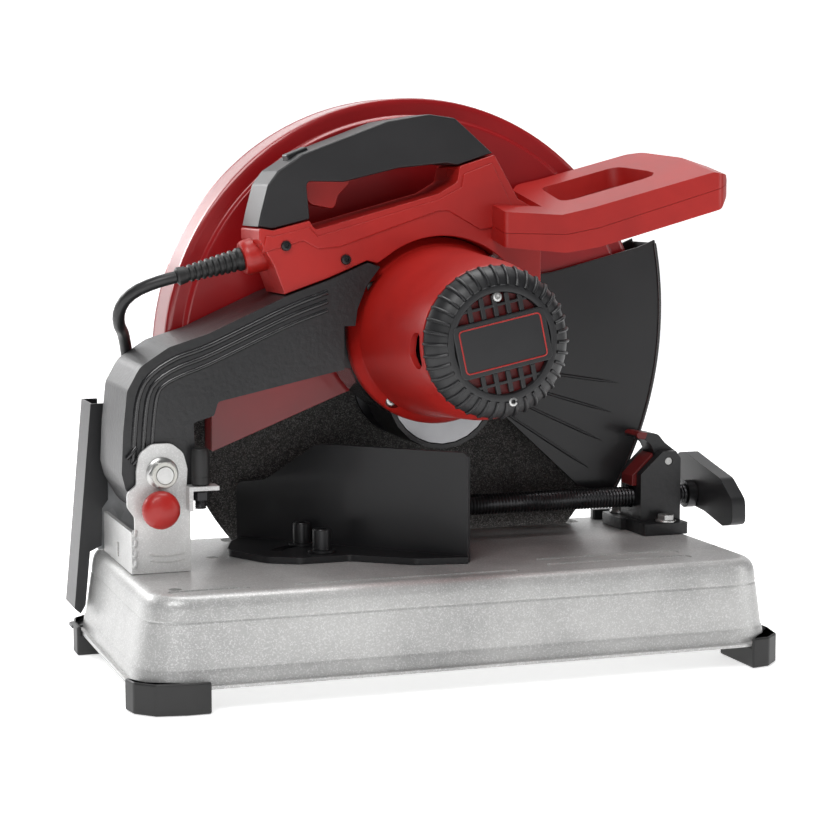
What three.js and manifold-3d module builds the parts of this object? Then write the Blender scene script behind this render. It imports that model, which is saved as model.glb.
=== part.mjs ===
// A bench-top cut-off saw for 355 mm abrasive discs, in millimetres, +Z up.
// +X is the operator's end, +Y the disc's side and -Y the motor's side. The head is down, at its lock.
// Lengths are in the frame of the base: x and y from the middle of the tray, z from the floor.
import * as THREE from "three";
import { mergeVertices } from "three/addons/utils/BufferGeometryUtils.js";
import Module from "manifold-3d";

// Driving dimensions ---------------------------------------------------------------------------
const BOX_MIDDLE = { x: 8.25, y: -5 }; // the middle of the whole machine, which becomes the origin
const GAP = 0.3; // clearance between pieces that touch
const TRAY = { top: 75, halfLength: 221, halfWidth: 111, corner: 28, sheet: 2.5, flangeZ: 15 };
const PIVOT = { x: -193, z: 143.5, r: 6 };
const DISC = { x: 19, y: 90.5, z: 190, r: 177.5, thickness: 3.2, bore: 12.7 };
const GUARD = { x: 18, z: 212, r: 189, near: 62, far: 104, sheet: 2, band: 13 };
const MOTOR = { x: 12, z: 234.3, flangeR: 66, bodyEndY: -118, capR: 50.4, rimY: -121, frontY: -133 };
const GEAR = { module: 1.789, pinionTeeth: 10, gearTeeth: 40, near: 14, far: 32 };
const ARM = { near: -20, far: 57 };
const HANDLE = { near: -17, far: 33, seam: 8 };
const LOOP = { near: -43.5, far: 56, rise: 0.2 };
const FENCE = { far: [-113, 79], near: [19.2, -53.2], pivot: [-75, -6], clamp: [-80.3, 26.2], top: 152.4 };
const VISE = { y: 38, z: 100.5, screwR: 8, blockX: 184, jawX: 12, crankX: 237 };
const STOP = { x: -167, y: -27.5, tabZ: 131.5 };
const CORD = { r: 4.25, sides: 4 };

// Finishes -------------------------------------------------------------------------------------
const finish = (color, roughness, metalness) =>
  new THREE.MeshStandardMaterial({ color, roughness, metalness });
const redPlastic = finish(0xb3150f, 0.45, 0);
const redPaint = finish(0xa30d10, 0.35, 0.1);
const blackPlastic = finish(0x1b1b1c, 0.5, 0);
const blackPaint = finish(0x121213, 0.45, 0.2);
const castBlack = finish(0x232325, 0.6, 0.2);
const silverPaint = finish(0xb4b4b2, 0.4, 0.6);
const steel = finish(0x9c9ea0, 0.35, 0.9);
const rubber = finish(0x131313, 0.8, 0);
const grit = finish(0x1d1c1a, 0.9, 0);
const copper = finish(0xa8623a, 0.4, 0.9);

// Solid modelling helpers ----------------------------------------------------------------------
const wasm = await Module();
wasm.setup();

// A closed geometry as a solid, turned right side out where its profile runs the other way.
function solid(geometry) {
  const bare = geometry.clone();
  bare.deleteAttribute("normal");
  bare.deleteAttribute("uv");
  const merged = mergeVertices(bare, 1e-4);
  const at = merged.attributes.position;
  const corners = [];
  let volume = 0;
  const [a, b, c] = [new THREE.Vector3(), new THREE.Vector3(), new THREE.Vector3()];
  for (let i = 0; i < merged.index.count; i += 3) {
    const [p, q, r] = [0, 1, 2].map((k) => merged.index.getX(i + k));
    if (p === q || q === r || r === p) continue;
    a.fromBufferAttribute(at, p);
    b.fromBufferAttribute(at, q);
    c.fromBufferAttribute(at, r);
    volume += a.dot(b.cross(c));
    corners.push([p, q, r]);
  }
  const triVerts = new Uint32Array(corners.flatMap((t) => (volume < 0 ? [t[0], t[2], t[1]] : t)));
  const mesh = new wasm.Mesh({ numProp: 3, vertProperties: new Float32Array(at.array), triVerts });
  return new wasm.Manifold(mesh);
}

function geometryOf(shape) {
  const made = shape.getMesh();
  return new THREE.BufferGeometry()
    .setAttribute("position", new THREE.BufferAttribute(new Float32Array(made.vertProperties), 3))
    .setIndex(new THREE.BufferAttribute(new Uint32Array(made.triVerts), 1));
}

const combine = (operation) => (first, ...others) =>
  geometryOf(others.reduce((shape, other) => shape[operation](solid(other)), solid(first)));
const join = combine("add");
const cut = combine("subtract");
const common = combine("intersect");

// Outlines are lists of [u, v] points; an entry with a third value r is a corner rounded to r.
function outline(points) {
  const path = new THREE.Shape();
  const n = points.length;
  points.forEach(([u, v, r = 0], i) => {
    if (!r) return i ? path.lineTo(u, v) : path.moveTo(u, v);
    const here = new THREE.Vector2(u, v);
    const before = new THREE.Vector2(...points[(i + n - 1) % n].slice(0, 2)).sub(here);
    const after = new THREE.Vector2(...points[(i + 1) % n].slice(0, 2)).sub(here);
    const half = Math.acos(before.dot(after) / (before.length() * after.length())) / 2;
    const reach = Math.min(r / Math.tan(half), before.length() / 2, after.length() / 2);
    const start = here.clone().addScaledVector(before.normalize(), reach);
    const end = here.clone().addScaledVector(after.normalize(), reach);
    if (i) path.lineTo(start.x, start.y);
    else path.moveTo(start.x, start.y);
    path.quadraticCurveTo(u, v, end.x, end.y);
  });
  path.closePath();
  return path;
}

const round = (u, v, r) => new THREE.Shape().absarc(u, v, r, 0, 2 * Math.PI);
const hex = (r) =>
  [0, 60, 120, 180, 240, 300].map((degrees) => {
    const turn = THREE.MathUtils.degToRad(degrees);
    return [r * Math.cos(turn), r * Math.sin(turn)];
  });
const extruded = (shape, depth, steps) =>
  new THREE.ExtrudeGeometry(Array.isArray(shape) ? outline(shape) : shape, {
    depth, bevelEnabled: false, curveSegments: steps,
  });
// An outline in x and z, from y0 to y1.
const alongY = (shape, y0, y1, steps = 3) =>
  extruded(shape, y1 - y0, steps).rotateX(Math.PI / 2).translate(0, y1, 0);
// An outline in x and y, from z0 to z1.
const alongZ = (shape, z0, z1, steps = 3) => extruded(shape, z1 - z0, steps).translate(0, 0, z0);
// An outline in y and z, from x0 to x1.
const turnToX = new THREE.Matrix4().makeBasis(
  new THREE.Vector3(0, 1, 0), new THREE.Vector3(0, 0, 1), new THREE.Vector3(1, 0, 0),
);
const alongX = (shape, x0, x1, steps = 3) =>
  extruded(shape, x1 - x0, steps).applyMatrix4(turnToX).translate(x0, 0, 0);
// A profile of [radius, height] points turned about the Y axis, the Z axis or the X axis.
const turned = (profile, sides = 16) =>
  new THREE.LatheGeometry(profile.map((p) => new THREE.Vector2(...p)), sides);
const turnedZ = (profile, sides) => turned(profile, sides).rotateX(Math.PI / 2);
const turnedX = (profile, sides) => turned(profile, sides).rotateZ(-Math.PI / 2);
const block = (low, high) =>
  new THREE.BoxGeometry(...high.map((h, i) => h - low[i])).translate(...high.map((h, i) => (h + low[i]) / 2));
// A ring or a plain cylinder about the Y axis.
const ringY = (inner, outer, y0, y1, sides = 16) =>
  inner > 0
    ? turned([[inner, y0], [outer, y0], [outer, y1], [inner, y1], [inner, y0]], sides)
    : turned([[0, y0], [outer, y0], [outer, y1], [0, y1]], sides);
const tube = (points, r, steps, sides) =>
  new THREE.ExtrudeGeometry(round(0, 0, r), {
    steps, curveSegments: sides, bevelEnabled: false,
    extrudePath: new THREE.CatmullRomCurve3(points.map((p) => new THREE.Vector3(...p))),
  });

const machine = new THREE.Group();
machine.position.set(-BOX_MIDDLE.x, -BOX_MIDDLE.y, 0);

function piece(name, geometry, material, place = [0, 0, 0], parent = machine) {
  const closed = geometryOf(solid(geometry)).toNonIndexed();
  closed.computeVertexNormals();
  const mesh = new THREE.Mesh(closed, material);
  mesh.name = name;
  mesh.position.set(...place);
  parent.add(mesh);
}

// Tray: one pressed sheet, open below, with a thin out-turned flange ------------------------------
const roundedRect = (halfLength, halfWidth, r) => [
  [-halfLength, -halfWidth, r], [halfLength, -halfWidth, r], [halfLength, halfWidth, r], [-halfLength, halfWidth, r],
];

// Stacks level outlines, given as [z, growth in x, growth in y], into one closed loft.
function loft(levels) {
  const rings = levels.map(([z, gx, gy]) =>
    outline(roundedRect(TRAY.halfLength + gx, TRAY.halfWidth + gy, TRAY.corner + gx / 2 + gy / 2))
      .getPoints(4).slice(0, 20).map((p) => [p.x, p.y, z]),
  );
  const n = rings[0].length;
  const index = [];
  for (let level = 0; level + 1 < rings.length; level++)
    for (let i = 0; i < n; i++) {
      const [p, q] = [level * n + i, level * n + ((i + 1) % n)];
      index.push(p, q, q + n, p, q + n, p + n);
    }
  const last = (rings.length - 1) * n;
  for (let i = 1; i + 1 < n; i++) index.push(0, i + 1, i, last, last + i, last + i + 1);
  return new THREE.BufferGeometry()
    .setAttribute("position", new THREE.BufferAttribute(new Float32Array(rings.flat(2)), 3))
    .setIndex(index);
}

const trayHoles = [
  [-198, -84.5], [-147, 23], [213, -49], FENCE.pivot, FENCE.clamp, [201, 11], [188, 66],
].map(([x, y]) => alongZ(round(x, y, 4.4), TRAY.top - 6, TRAY.top + 1, 4));
piece(
  "base_tray",
  cut(
    loft([[15, 10.5, 9], [17, 10.5, 9], [17.1, 7.5, 5], [24, 6.8, 4], [27, 6, 3], [40, 3.6, 2.2], [60, 0.6, 1],
      [67, -0.4, 0.3], [72, -2.6, -2], [75, -8, -8]]),
    loft([[14, 5, 2.4], [24, 4.3, 1.5], [27, 3.5, 0.5], [40, 1.1, -0.3], [60, -1.9, -1.5], [68, -3.5, -3],
      [72.5, -10, -10]]),
    block([DISC.x - 143, DISC.y - 9.5, 66], [DISC.x + 143, DISC.y + 9.5, 76]),
    ...trayHoles,
  ),
  silverPaint,
);

// Feet: rubber caps under the corners that wrap the flange's edge ----------------------------------
const FOOT = { x: TRAY.halfLength + 14.5, y: TRAY.halfWidth + 13, long: 52, short: 30 };
const footOutline = roundedRect(FOOT.x, FOOT.y, 36);
const flangeRoom = alongZ(roundedRect(TRAY.halfLength + 11.2, TRAY.halfWidth + 9.7, 31), 14.7, 30);
for (const [end, sx] of [["rear", -1], ["front", 1]])
  for (const [side, sy] of [["near", -1], ["far", 1]]) {
    const [lx, ly] = sx === sy ? [FOOT.long, FOOT.short] : [FOOT.short, FOOT.long];
    const [x, y] = [sx * (FOOT.x - lx), sy * (FOOT.y - ly)];
    const corner = alongZ([[x, y], [sx * (FOOT.x + 4), y], [sx * (FOOT.x + 4), sy * (FOOT.y + 4)], [x, sy * (FOOT.y + 4)]],
      -1, 40);
    piece(`foot_${end}_${side}`, cut(common(alongZ(footOutline, 0, 21), corner), flangeRoom), rubber);
  }

// Spark deflector: a steel channel that leans off the rear wall, in line with the disc -----------
const deflectorY = { near: 75, far: 112, sheet: 1.5 };
piece(
  "spark_deflector",
  cut(
    alongY([[-236.5, 34], [-232, 30], [-228.4, 36], [-224.5, 75], [-216, 79], [-215.3, 106], [-211, 112], [-211, 182],
      [-222.5, 182]], deflectorY.near, deflectorY.far),
    alongY([[-235.8, 20], [-200, 20], [-200, 190], [-220.3, 190], [-235, 34]],
      deflectorY.near + deflectorY.sheet, deflectorY.far - deflectorY.sheet),
  ),
  blackPaint,
);

// Pivot bracket: near cheek, rear plate, floor plate and stop tab in one bent sheet ---------------
const cheekNear = { y0: -25, y1: -22 };
const cheekOutline = [
  [-212, 75.3], [-173.6, 75.3], [-173.6, 130], [-176, 133], [-175.2, 146, 6], [-178, 157, 8], [-186, 163.7, 8],
  [-200, 163.7, 8], [-208.5, 157, 8], [-210.5, 145, 5], [-210.5, 136, 4], [-217, 131, 6], [-217, 121, 6],
  [-212, 114, 5],
];
const pin = { x: -196.6, z: 120.4, r: 4 };
const atPivot = (geometry) => geometry.translate(PIVOT.x, 0, PIVOT.z);
const atPin = (geometry) => geometry.translate(pin.x, 0, pin.z);
piece(
  "pivot_bracket",
  cut(
    join(
      alongY(cheekOutline, cheekNear.y0, cheekNear.y1),
      block([-214.5, cheekNear.y0, 75.3], [-211.5, 74, 104]),
      block([-213, cheekNear.y0, 75.3], [-174, 74, 78.3]),
      block([-176.5, -35, 118], [-173.6, -21, STOP.tabZ + 3]),
      block([-176.5, -35, STOP.tabZ], [-155.5, -21, STOP.tabZ + 3]),
    ),
    atPivot(ringY(0, PIVOT.r + GAP, -26, -20, 16)),
    atPin(ringY(0, pin.r + GAP, -26, -20, 16)),
    alongZ(round(STOP.x, STOP.y, 4.3), 120, 140, 6),
    block([-216, 19, 80], [-210, 26, 90]),
  ),
  silverPaint,
);
piece(
  "far_cheek",
  cut(
    join(
      alongY([[-217.5, 75.3], [-174, 75.3], [-174, 146, 6], [-178, 157, 8], [-186, 163.7, 8], [-200, 163.7, 8],
        [-212, 157, 6], [-217.5, 150]], 82, 85),
      block([-210.5, 74.6, 75.3], [-174, 82.5, 78.3]),
    ),
    atPivot(ringY(0, PIVOT.r + GAP, 80, 90, 16)),
  ),
  steel,
);
piece("pivot_bolt", join(ringY(0, PIVOT.r, -37, 85.3, 16), alongY(hex(10), 85.3, 92)), steel, [PIVOT.x, 0, PIVOT.z]);
piece(
  "pivot_nut",
  cut(join(alongY(hex(9.5), -34, -27.5), ringY(0, 11, -27.8, -25.3, 20)), ringY(0, PIVOT.r + GAP, -40, -20, 16)),
  steel, [PIVOT.x, 0, PIVOT.z],
);
// The spring that lifts the head is wound on the bolt between the arm and the far cheek.
const springTurns = 4;
const springPath = Array.from({ length: springTurns * 8 + 1 }, (_, i) => {
  const turn = (i * Math.PI) / 4;
  return [10 * Math.cos(turn), 60 + (i / 8) * 5, 10 * Math.sin(turn)];
});
piece("return_spring", tube(springPath, 1.6, 28, 2), steel, [PIVOT.x, 0, PIVOT.z]);

// Lock pin: holds the head down at its lowest; its domed knob is pulled out to free the head ------
piece("lock_pin", ringY(0, pin.r, -33, -20.7, 14), steel, [pin.x, 0, pin.z]);
piece(
  "lock_pin_knob",
  turned([[0, -46], [6, -45.4], [10.5, -43.5], [12.8, -40.5], [13, -37], [11, -33.3], [0, -33.3]], 24),
  redPlastic, [pin.x, 0, pin.z],
);

// Stop screw: sets how far down the head comes ----------------------------------------------------
piece("stop_screw", turnedZ([[0, 118.7], [4, 118.7], [4, 148], [0, 148]], 12), steel, [STOP.x, STOP.y, 0]);
piece(
  "stop_bumper",
  turnedZ([[0, 160.3], [4.8, 160.3], [6, 158.5], [6.2, 134.8], [4.3, 134.8], [4.3, 148.3], [0, 148.3]], 18),
  rubber, [STOP.x, STOP.y, 0],
);

// Mitre fence: an upright plate welded on a swivel plate ------------------------------------------
const fenceZ = TRAY.top + GAP;
const fenceTop = fenceZ + 4.5;
const fenceTurn = Math.atan2(FENCE.near[1] - FENCE.far[1], FENCE.near[0] - FENCE.far[0]);
const fenceLength = Math.hypot(FENCE.near[0] - FENCE.far[0], FENCE.near[1] - FENCE.far[1]);
const toFence = (x, y) => {
  const [dx, dy] = [x - FENCE.far[0], y - FENCE.far[1]];
  return [dx * Math.cos(fenceTurn) + dy * Math.sin(fenceTurn), dy * Math.cos(fenceTurn) - dx * Math.sin(fenceTurn)];
};
const upright = alongY(
  [[0, fenceZ], [fenceLength, fenceZ], [fenceLength, 149.4], [fenceLength - 3, FENCE.top], [67.5, FENCE.top, 12],
    [24, 123.5, 12], [5, 121.5], [0, 118.5]], -4, 0,
).rotateZ(fenceTurn).translate(FENCE.far[0], FENCE.far[1], 0);
const swivelPlate = alongZ(
  [[-112, 77], [-125, 58], [-136, 25, 16], [-117.9, -12, 14], [-95.8, -25, 10], [-60, -24, 6], [-20.8, -53.7, 10],
    [15, -60], [18, -53.5]], fenceZ, fenceTop);
const slotArc = { r: Math.hypot(FENCE.clamp[0] - FENCE.pivot[0], FENCE.clamp[1] - FENCE.pivot[1]) };
slotArc.from = Math.atan2(FENCE.clamp[1] - FENCE.pivot[1], FENCE.clamp[0] - FENCE.pivot[0]) - 0.15;
slotArc.to = slotArc.from + 1.1;
const arcSlot = new THREE.Shape()
  .absarc(0, 0, slotArc.r + 4.5, slotArc.from, slotArc.to, false)
  .absarc(0, 0, slotArc.r - 4.5, slotArc.to, slotArc.from, true);
piece(
  "fence",
  cut(
    join(upright, swivelPlate),
    alongZ(round(...FENCE.pivot, 4.4), 70, 90, 5),
    alongZ(arcSlot, 70, fenceTop + 1, 4).translate(...FENCE.pivot, 0),
  ),
  blackPaint,
);
const socketBolt = (headR, washerR) =>
  turnedZ([[0, -11], [4, -11], [4, GAP], [washerR, GAP], [washerR, 2], [headR, 2], [headR, 15.5],
    [headR - 0.8, 16.5], [3.4, 16.5], [3.4, 11], [0, 11]], 18);
piece("fence_pivot_bolt", socketBolt(6.5, 10), blackPaint, [...FENCE.pivot, fenceTop]);
piece("fence_clamp_bolt", socketBolt(6.5, 9.6), blackPaint, [...FENCE.clamp, fenceTop]);

// Vise block: a casting that carries the screw and its quick-release half nut ---------------------
const hinge = { x: 207, z: 129, r: 3 };
const viseBolts = [["near", 201, 11], ["far", 188, 66]];
piece(
  "vise_block",
  cut(
    join(
      alongY([[184, 78], [217, 78], [217, 131], [213, 136.5], [202, 136.5], [184, 119.8]], 19, 55),
      alongZ([[180, 4, 3], [217, 4, 3], [217, 37], [180, 37]], fenceZ, 84),
      alongZ([[176, 37], [206, 37], [206, 74, 4], [176, 74, 4]], fenceZ, 84),
    ),
    block([183, 27, 109.3], [211, 49, 140]),
    block([200, 27, 114], [220, 49, 140]),
    alongX(round(VISE.y, VISE.z, VISE.screwR + 0.5), 170, 230, 9),
    ringY(0, hinge.r + 0.2, 10, 60, 14).translate(hinge.x, 0, hinge.z),
    ...viseBolts.map(([, x, y]) => alongZ(round(x, y, 4.4), 70, 90, 5)),
  ),
  castBlack,
);
for (const [side, x, y] of viseBolts)
  piece(
    `vise_bolt_${side}`,
    join(turnedZ([[0, 67], [4, 67], [4, 84.3], [7.8, 84.3], [7.8, 85.8], [0, 85.8]], 14), alongZ(hex(6.5), 85.5, 90)),
    steel, [x, y, 0],
  );
piece("release_pin", ringY(0, hinge.r, 19.5, 54.5, 12), steel, [hinge.x, 0, hinge.z]);

// Release lever with its half nut: lifting the tip frees the screw to slide -----------------------
piece(
  "release_lever",
  cut(
    alongY([[183.5, 149, 1.5], [184.5, 146, 1.5], [191, 145, 3], [196, 141], [200, 133], [200.5, 124], [204, 121.5, 3], [212, 121.5, 5], [218.7, 129, 4],
      [218.7, 134, 3], [208, 142, 6], [202, 149, 6], [191, 150.5]], 28, 48),
    ringY(0, hinge.r + 0.3, 20, 60, 14).translate(hinge.x, 0, hinge.z),
  ),
  blackPlastic,
);
piece(
  "half_nut",
  cut(
    alongY([[181, 110], [199.7, 110], [199.7, 124], [198, 134.5], [181, 117.5]], 28.5, 47.5),
    alongX(round(VISE.y, VISE.z, VISE.screwR + 0.8), 170, 230, 9),
  ),
  redPlastic,
);

// Vise: a swivelling jaw on a carrier, pushed by the screw and its crank --------------------------
piece(
  "jaw_carrier",
  cut(
    join(
      alongZ([[-9, -9, 8], [4, -9], [14, -13], [34, -13, 3], [34, 13, 3], [14, 13], [4, 9], [-9, 9, 8]], 90, 111)
        .translate(VISE.jawX, VISE.y, 0),
    ),
    alongZ(round(VISE.jawX, VISE.y, 4.3), 80, 130, 6),
    alongX(round(VISE.y, VISE.z, 5.4), VISE.jawX + 20, VISE.jawX + 40, 6),
  ),
  castBlack,
);
piece(
  "vise_jaw",
  cut(
    join(
      block([-18, -42, 76], [-13, 42, 134]),
      alongZ([[-14, -12], [3, -12, 6], [10, -6, 4], [10, 6, 4], [3, 12, 6], [-14, 12]], 83, 89.6),
      alongZ([[-14, -12], [3, -12, 6], [10, -6, 4], [10, 6, 4], [3, 12, 6], [-14, 12]], 111.4, 118),
    ),
    alongZ(round(0, 0, 4.3), 70, 130, 6),
  ).rotateZ(fenceTurn + Math.PI / 2),
  blackPaint, [VISE.jawX, VISE.y, 0],
);
piece(
  "jaw_pin", join(alongZ(round(0, 0, 4), 80, 120, 6), alongZ(hex(7), 118.3, 123)), steel, [VISE.jawX, VISE.y, 0],
);
piece(
  "vise_screw",
  turnedX([[0, VISE.jawX + 21], [5, VISE.jawX + 21], [5, VISE.jawX + 34.4], [VISE.screwR, VISE.jawX + 34.4],
    [VISE.screwR, 229], [10.5, 229], [10.5, 236.7], [6, 236.7], [6, 253], [0, 253]], 20),
  steel, [0, VISE.y, VISE.z],
);
piece(
  "crank_handle",
  cut(
    alongX([[28, 28.5, 5], [14, 30.5, 8], [-10, 25, 12], [-45, 17.5, 12], [-65, 3.5, 8], [-66, -14.5, 6],
      [-50, -18, 6], [-20, -11, 16], [9, -8.5, 10], [26, 8, 10]], VISE.crankX, VISE.crankX + 11, 3),
    alongX(round(0, 0, 6.3), 230, 260, 6),
  ),
  blackPlastic, [0, VISE.y, VISE.z],
);

// Saw head: arm and gear case in one casting, open toward the disc --------------------------------
const head = new THREE.Group();
machine.add(head);
const atMotor = (geometry) => geometry.translate(MOTOR.x, 0, MOTOR.z);
const atSpindle = (geometry) => geometry.translate(DISC.x, 0, DISC.z);
const atGuard = (geometry) => geometry.translate(GUARD.x, 0, GUARD.z);
const armOutline = [
  [-219.5, 143.8], [-218, 172], [-215, 199.5, 12], [-206, 215.5, 14], [-186, 228.5, 14], [-158.4, 237], [-104.3, 261.1],
  [-72, 272.3], [-44.4, 283.7], [-36, 281], [-20, 268], [-10, 205], [-62.9, 209.6], [-152.2, 190.3, 3], [-155.1, 180.8, 3],
  [-169.5, 176.5, 3], [-168.5, 150], [-170, 132, 10], [-184, 113, 12], [-206, 113, 10], [-217, 133, 8],
];
const armPocket = [
  [-209, 176], [-206.5, 197, 8], [-200, 209, 8], [-183, 221, 8], [-156, 230], [-104, 254], [-70, 266], [-62, 262],
  [-66, 217], [-148, 199, 4], [-160, 188, 6], [-180, 180, 6], [-196, 176],
];
const caseNear = 3.3;
piece(
  "arm",
  cut(
    join(
      cut(
        alongY(armOutline, ARM.near, ARM.far),
        alongY(armPocket, ARM.near + 7, ARM.far + 1),
        atMotor(ringY(0, MOTOR.flangeR + 0.6, ARM.near - 1, caseNear, 24)),
        block([-62, ARM.near - 1, 150], [0, caseNear, 240]),
      ),
      atMotor(ringY(0, MOTOR.flangeR, caseNear, 56, 24)),
      atSpindle(ringY(0, 42, caseNear, 56, 20)),
      atGuard(ringY(0, 36, 50, 61.6, 20)),
      atSpindle(ringY(0, 16, 50, 61.6, 20)),
    ),
    atSpindle(ringY(0, 38.8, caseNear - 1, 38, 24)),
    atMotor(ringY(0, 30, caseNear - 1, 38, 20)),
    atSpindle(ringY(0, 13.3, 37, 57, 16)),
    atSpindle(ringY(0, 10.6, 50, 70, 16)),
    atPivot(ringY(0, PIVOT.r + GAP, ARM.near - 1, ARM.far + 1, 16)),
    atPin(ringY(0, pin.r + GAP, ARM.near - 1, ARM.near + 12, 16)),
  ),
  castBlack, [0, 0, 0], head,
);
piece(
  "gear_plate",
  cut(
    join(
      atMotor(ringY(0, 29.4, caseNear + GAP, 8, 20)),
      atSpindle(ringY(0, 38.2, caseNear + GAP, 8, 24)),
    ),
    atMotor(ringY(0, 5.8, 0, 9, 20)),
  ),
  steel, [0, 0, 0], head,
);

// Fixed guard: a steel dish over the disc with a stepped rim, a rear wall and a side plate ---------
const g = GUARD;
const guardCut = [
  [-300, 195], [-137, 195], [-137, 145.3], [-28.4, 188.4], [45, 180], [190, 140], [240, 120], [240, -50], [-300, -50],
];
piece(
  "upper_guard",
  cut(
    join(
      cut(
        atGuard(turned([
          [0, g.near], [g.r - g.band - 3, g.near], [g.r - g.band, g.near + 3], [g.r - 2, g.near + 3.5],
          [g.r, g.near + 6], [g.r, g.far], [g.r - g.sheet, g.far], [g.r - g.sheet, g.near + 5.5],
          [g.r - g.band - 1, g.near + 5], [g.r - g.band - 4, g.near + g.sheet], [0, g.near + g.sheet],
        ], 44)),
        alongY(guardCut, g.near - 5, g.far + 5),
      ),
      block([-137.2, g.near + 0.2, 146], [-135, 84, 196]),
      block([-168, g.near + 5.5, 195], [-135, 84, 197]),
    ),
    atSpindle(ringY(0, 12.4, 50, 70, 16)),
  ),
  redPaint, [0, 0, 0], head,
);
piece(
  "guard_side_plate",
  cut(
    atGuard(ringY(0, g.r - g.sheet - 0.5, g.far - 2, g.far, 48)),
    alongY([[-300, 195], [-137, 195], [-137, 188], [-60, 205], [-30, 232, 20], [66, 232, 20], [92, 205], [240, 160],
      [240, -50], [-300, -50]], g.far - 5, g.far + 5),
  ),
  redPaint, [0, 0, 0], head,
);

// Motor: housing, vented cap and badge on the -Y side ---------------------------------------------
const motor = new THREE.Group();
motor.position.set(MOTOR.x, 0, MOTOR.z);
head.add(motor);
piece(
  "motor_housing",
  cut(
    turned([
      [66, 3], [66, -5], [63, -9], [60.5, -14], [57, -60], [54.5, -95], [50.8, MOTOR.bodyEndY],
      [47, MOTOR.bodyEndY], [50, -97], [52, -60], [56, -12], [58, -6], [58, 3], [66, 3],
    ], 28),
    block([-70, -112, -18], [-40, -101, 8]).rotateY(-0.1),
  ),
  redPlastic, [0, 0, 0], motor,
);
const frontFace = MOTOR.frontY;
const tilt = THREE.MathUtils.degToRad(-12);
const bars = [-1, 1].flatMap((side) => [
  block([-29, frontFace + 0.5, side * 22.5 - 1.8], [29, frontFace + 4, side * 22.5 + 1.8]),
  block([-2, frontFace + 0.5, side * 28 - 8], [2, frontFace + 4, side * 28 + 8]),
]);
const capSlots = Array.from({ length: 12 }, (_, i) =>
  block([40, frontFace - 2, -3], [47, frontFace + 12, 3]).rotateY((i * 2 * Math.PI) / 12 + 0.13));
piece(
  "motor_end_cap",
  cut(
    join(
      turned([
        [MOTOR.capR, MOTOR.bodyEndY - GAP], [MOTOR.capR, MOTOR.rimY], [48.5, -126], [44, -130.5],
        [38, frontFace], [33.5, frontFace], [33.5, frontFace + 3.5], [37, frontFace + 3.5], [42, -127],
        [45.5, MOTOR.rimY - 1], [46.5, MOTOR.bodyEndY - GAP], [MOTOR.capR, MOTOR.bodyEndY - GAP],
      ], 28),
      alongY(roundedRect(34.5, 20, 9), frontFace + 0.5, frontFace + 4).rotateY(tilt),
      ...bars.map((bar) => bar.rotateY(tilt)),
    ),
    ...capSlots,
  ),
  blackPlastic, [0, 0, 0], motor,
);
piece(
  "badge_plate", common(alongY([[-32, -18], [32, -18], [32, 18], [-32, 18]], frontFace - 1, frontFace + 0.2),
    ringY(0, 33.2, frontFace - 2, frontFace + 1, 40)).rotateY(tilt),
  blackPlastic, [0, 0, 0], motor,
);
piece(
  "stator_core",
  cut(ringY(30, 49.5, -84, -30, 24), block([-60, -90, -9], [-40, -20, 9]), block([40, -90, -9], [60, -20, 9])),
  steel, [0, 0, 0], motor,
);
// Rotor: turns inside the stator and drives the gear with its pinion.
const toothed = (teeth, inner, outer, phase) =>
  Array.from({ length: teeth * 3 }, (_, i) => {
    const turn = ((Math.floor(i / 3) + [0.5, -0.11, 0.11][(i + 3) % 3] - (i % 3 ? 0 : 1) + phase) / teeth) * 2 * Math.PI;
    const r = i % 3 ? outer : inner;
    return [r * Math.cos(turn), r * Math.sin(turn)];
  });
const lineOfCentres = Math.atan2(MOTOR.z - DISC.z, MOTOR.x - DISC.x);
const pitch = { pinion: (GEAR.module * GEAR.pinionTeeth) / 2, gear: (GEAR.module * GEAR.gearTeeth) / 2 };
// A tooth of the gear points along the line of centres, and a gap of the pinion faces it.
const gearPhase = (lineOfCentres / (2 * Math.PI)) * GEAR.gearTeeth;
const pinionPhase = ((lineOfCentres + Math.PI) / (2 * Math.PI)) * GEAR.pinionTeeth + 0.5;
piece(
  "motor_shaft",
  join(
    alongY(toothed(GEAR.pinionTeeth, pitch.pinion - 2.2, pitch.pinion + 0.9, pinionPhase), GEAR.near - 1, GEAR.far + 1),
    ringY(0, 5.5, -122, 37, 16),
  ),
  steel, [0, 0, 0], motor,
);
piece("armature", join(ringY(5.8, 28.5, -84, -30, 20), ringY(5.8, 16, -104, -83, 20)), copper, [0, 0, 0], motor);
const fanBlades = 5;
piece(
  "cooling_fan",
  join(
    ringY(5.8, 46, -8, -6, 20), ringY(5.8, 12, -20, -7, 16),
    ...Array.from({ length: fanBlades }, (_, i) =>
      block([11, -20, -0.9], [45, -7, 0.9]).rotateY((i * 2 * Math.PI) / fanBlades)),
  ),
  blackPlastic, [0, 0, 0], motor,
);

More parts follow.
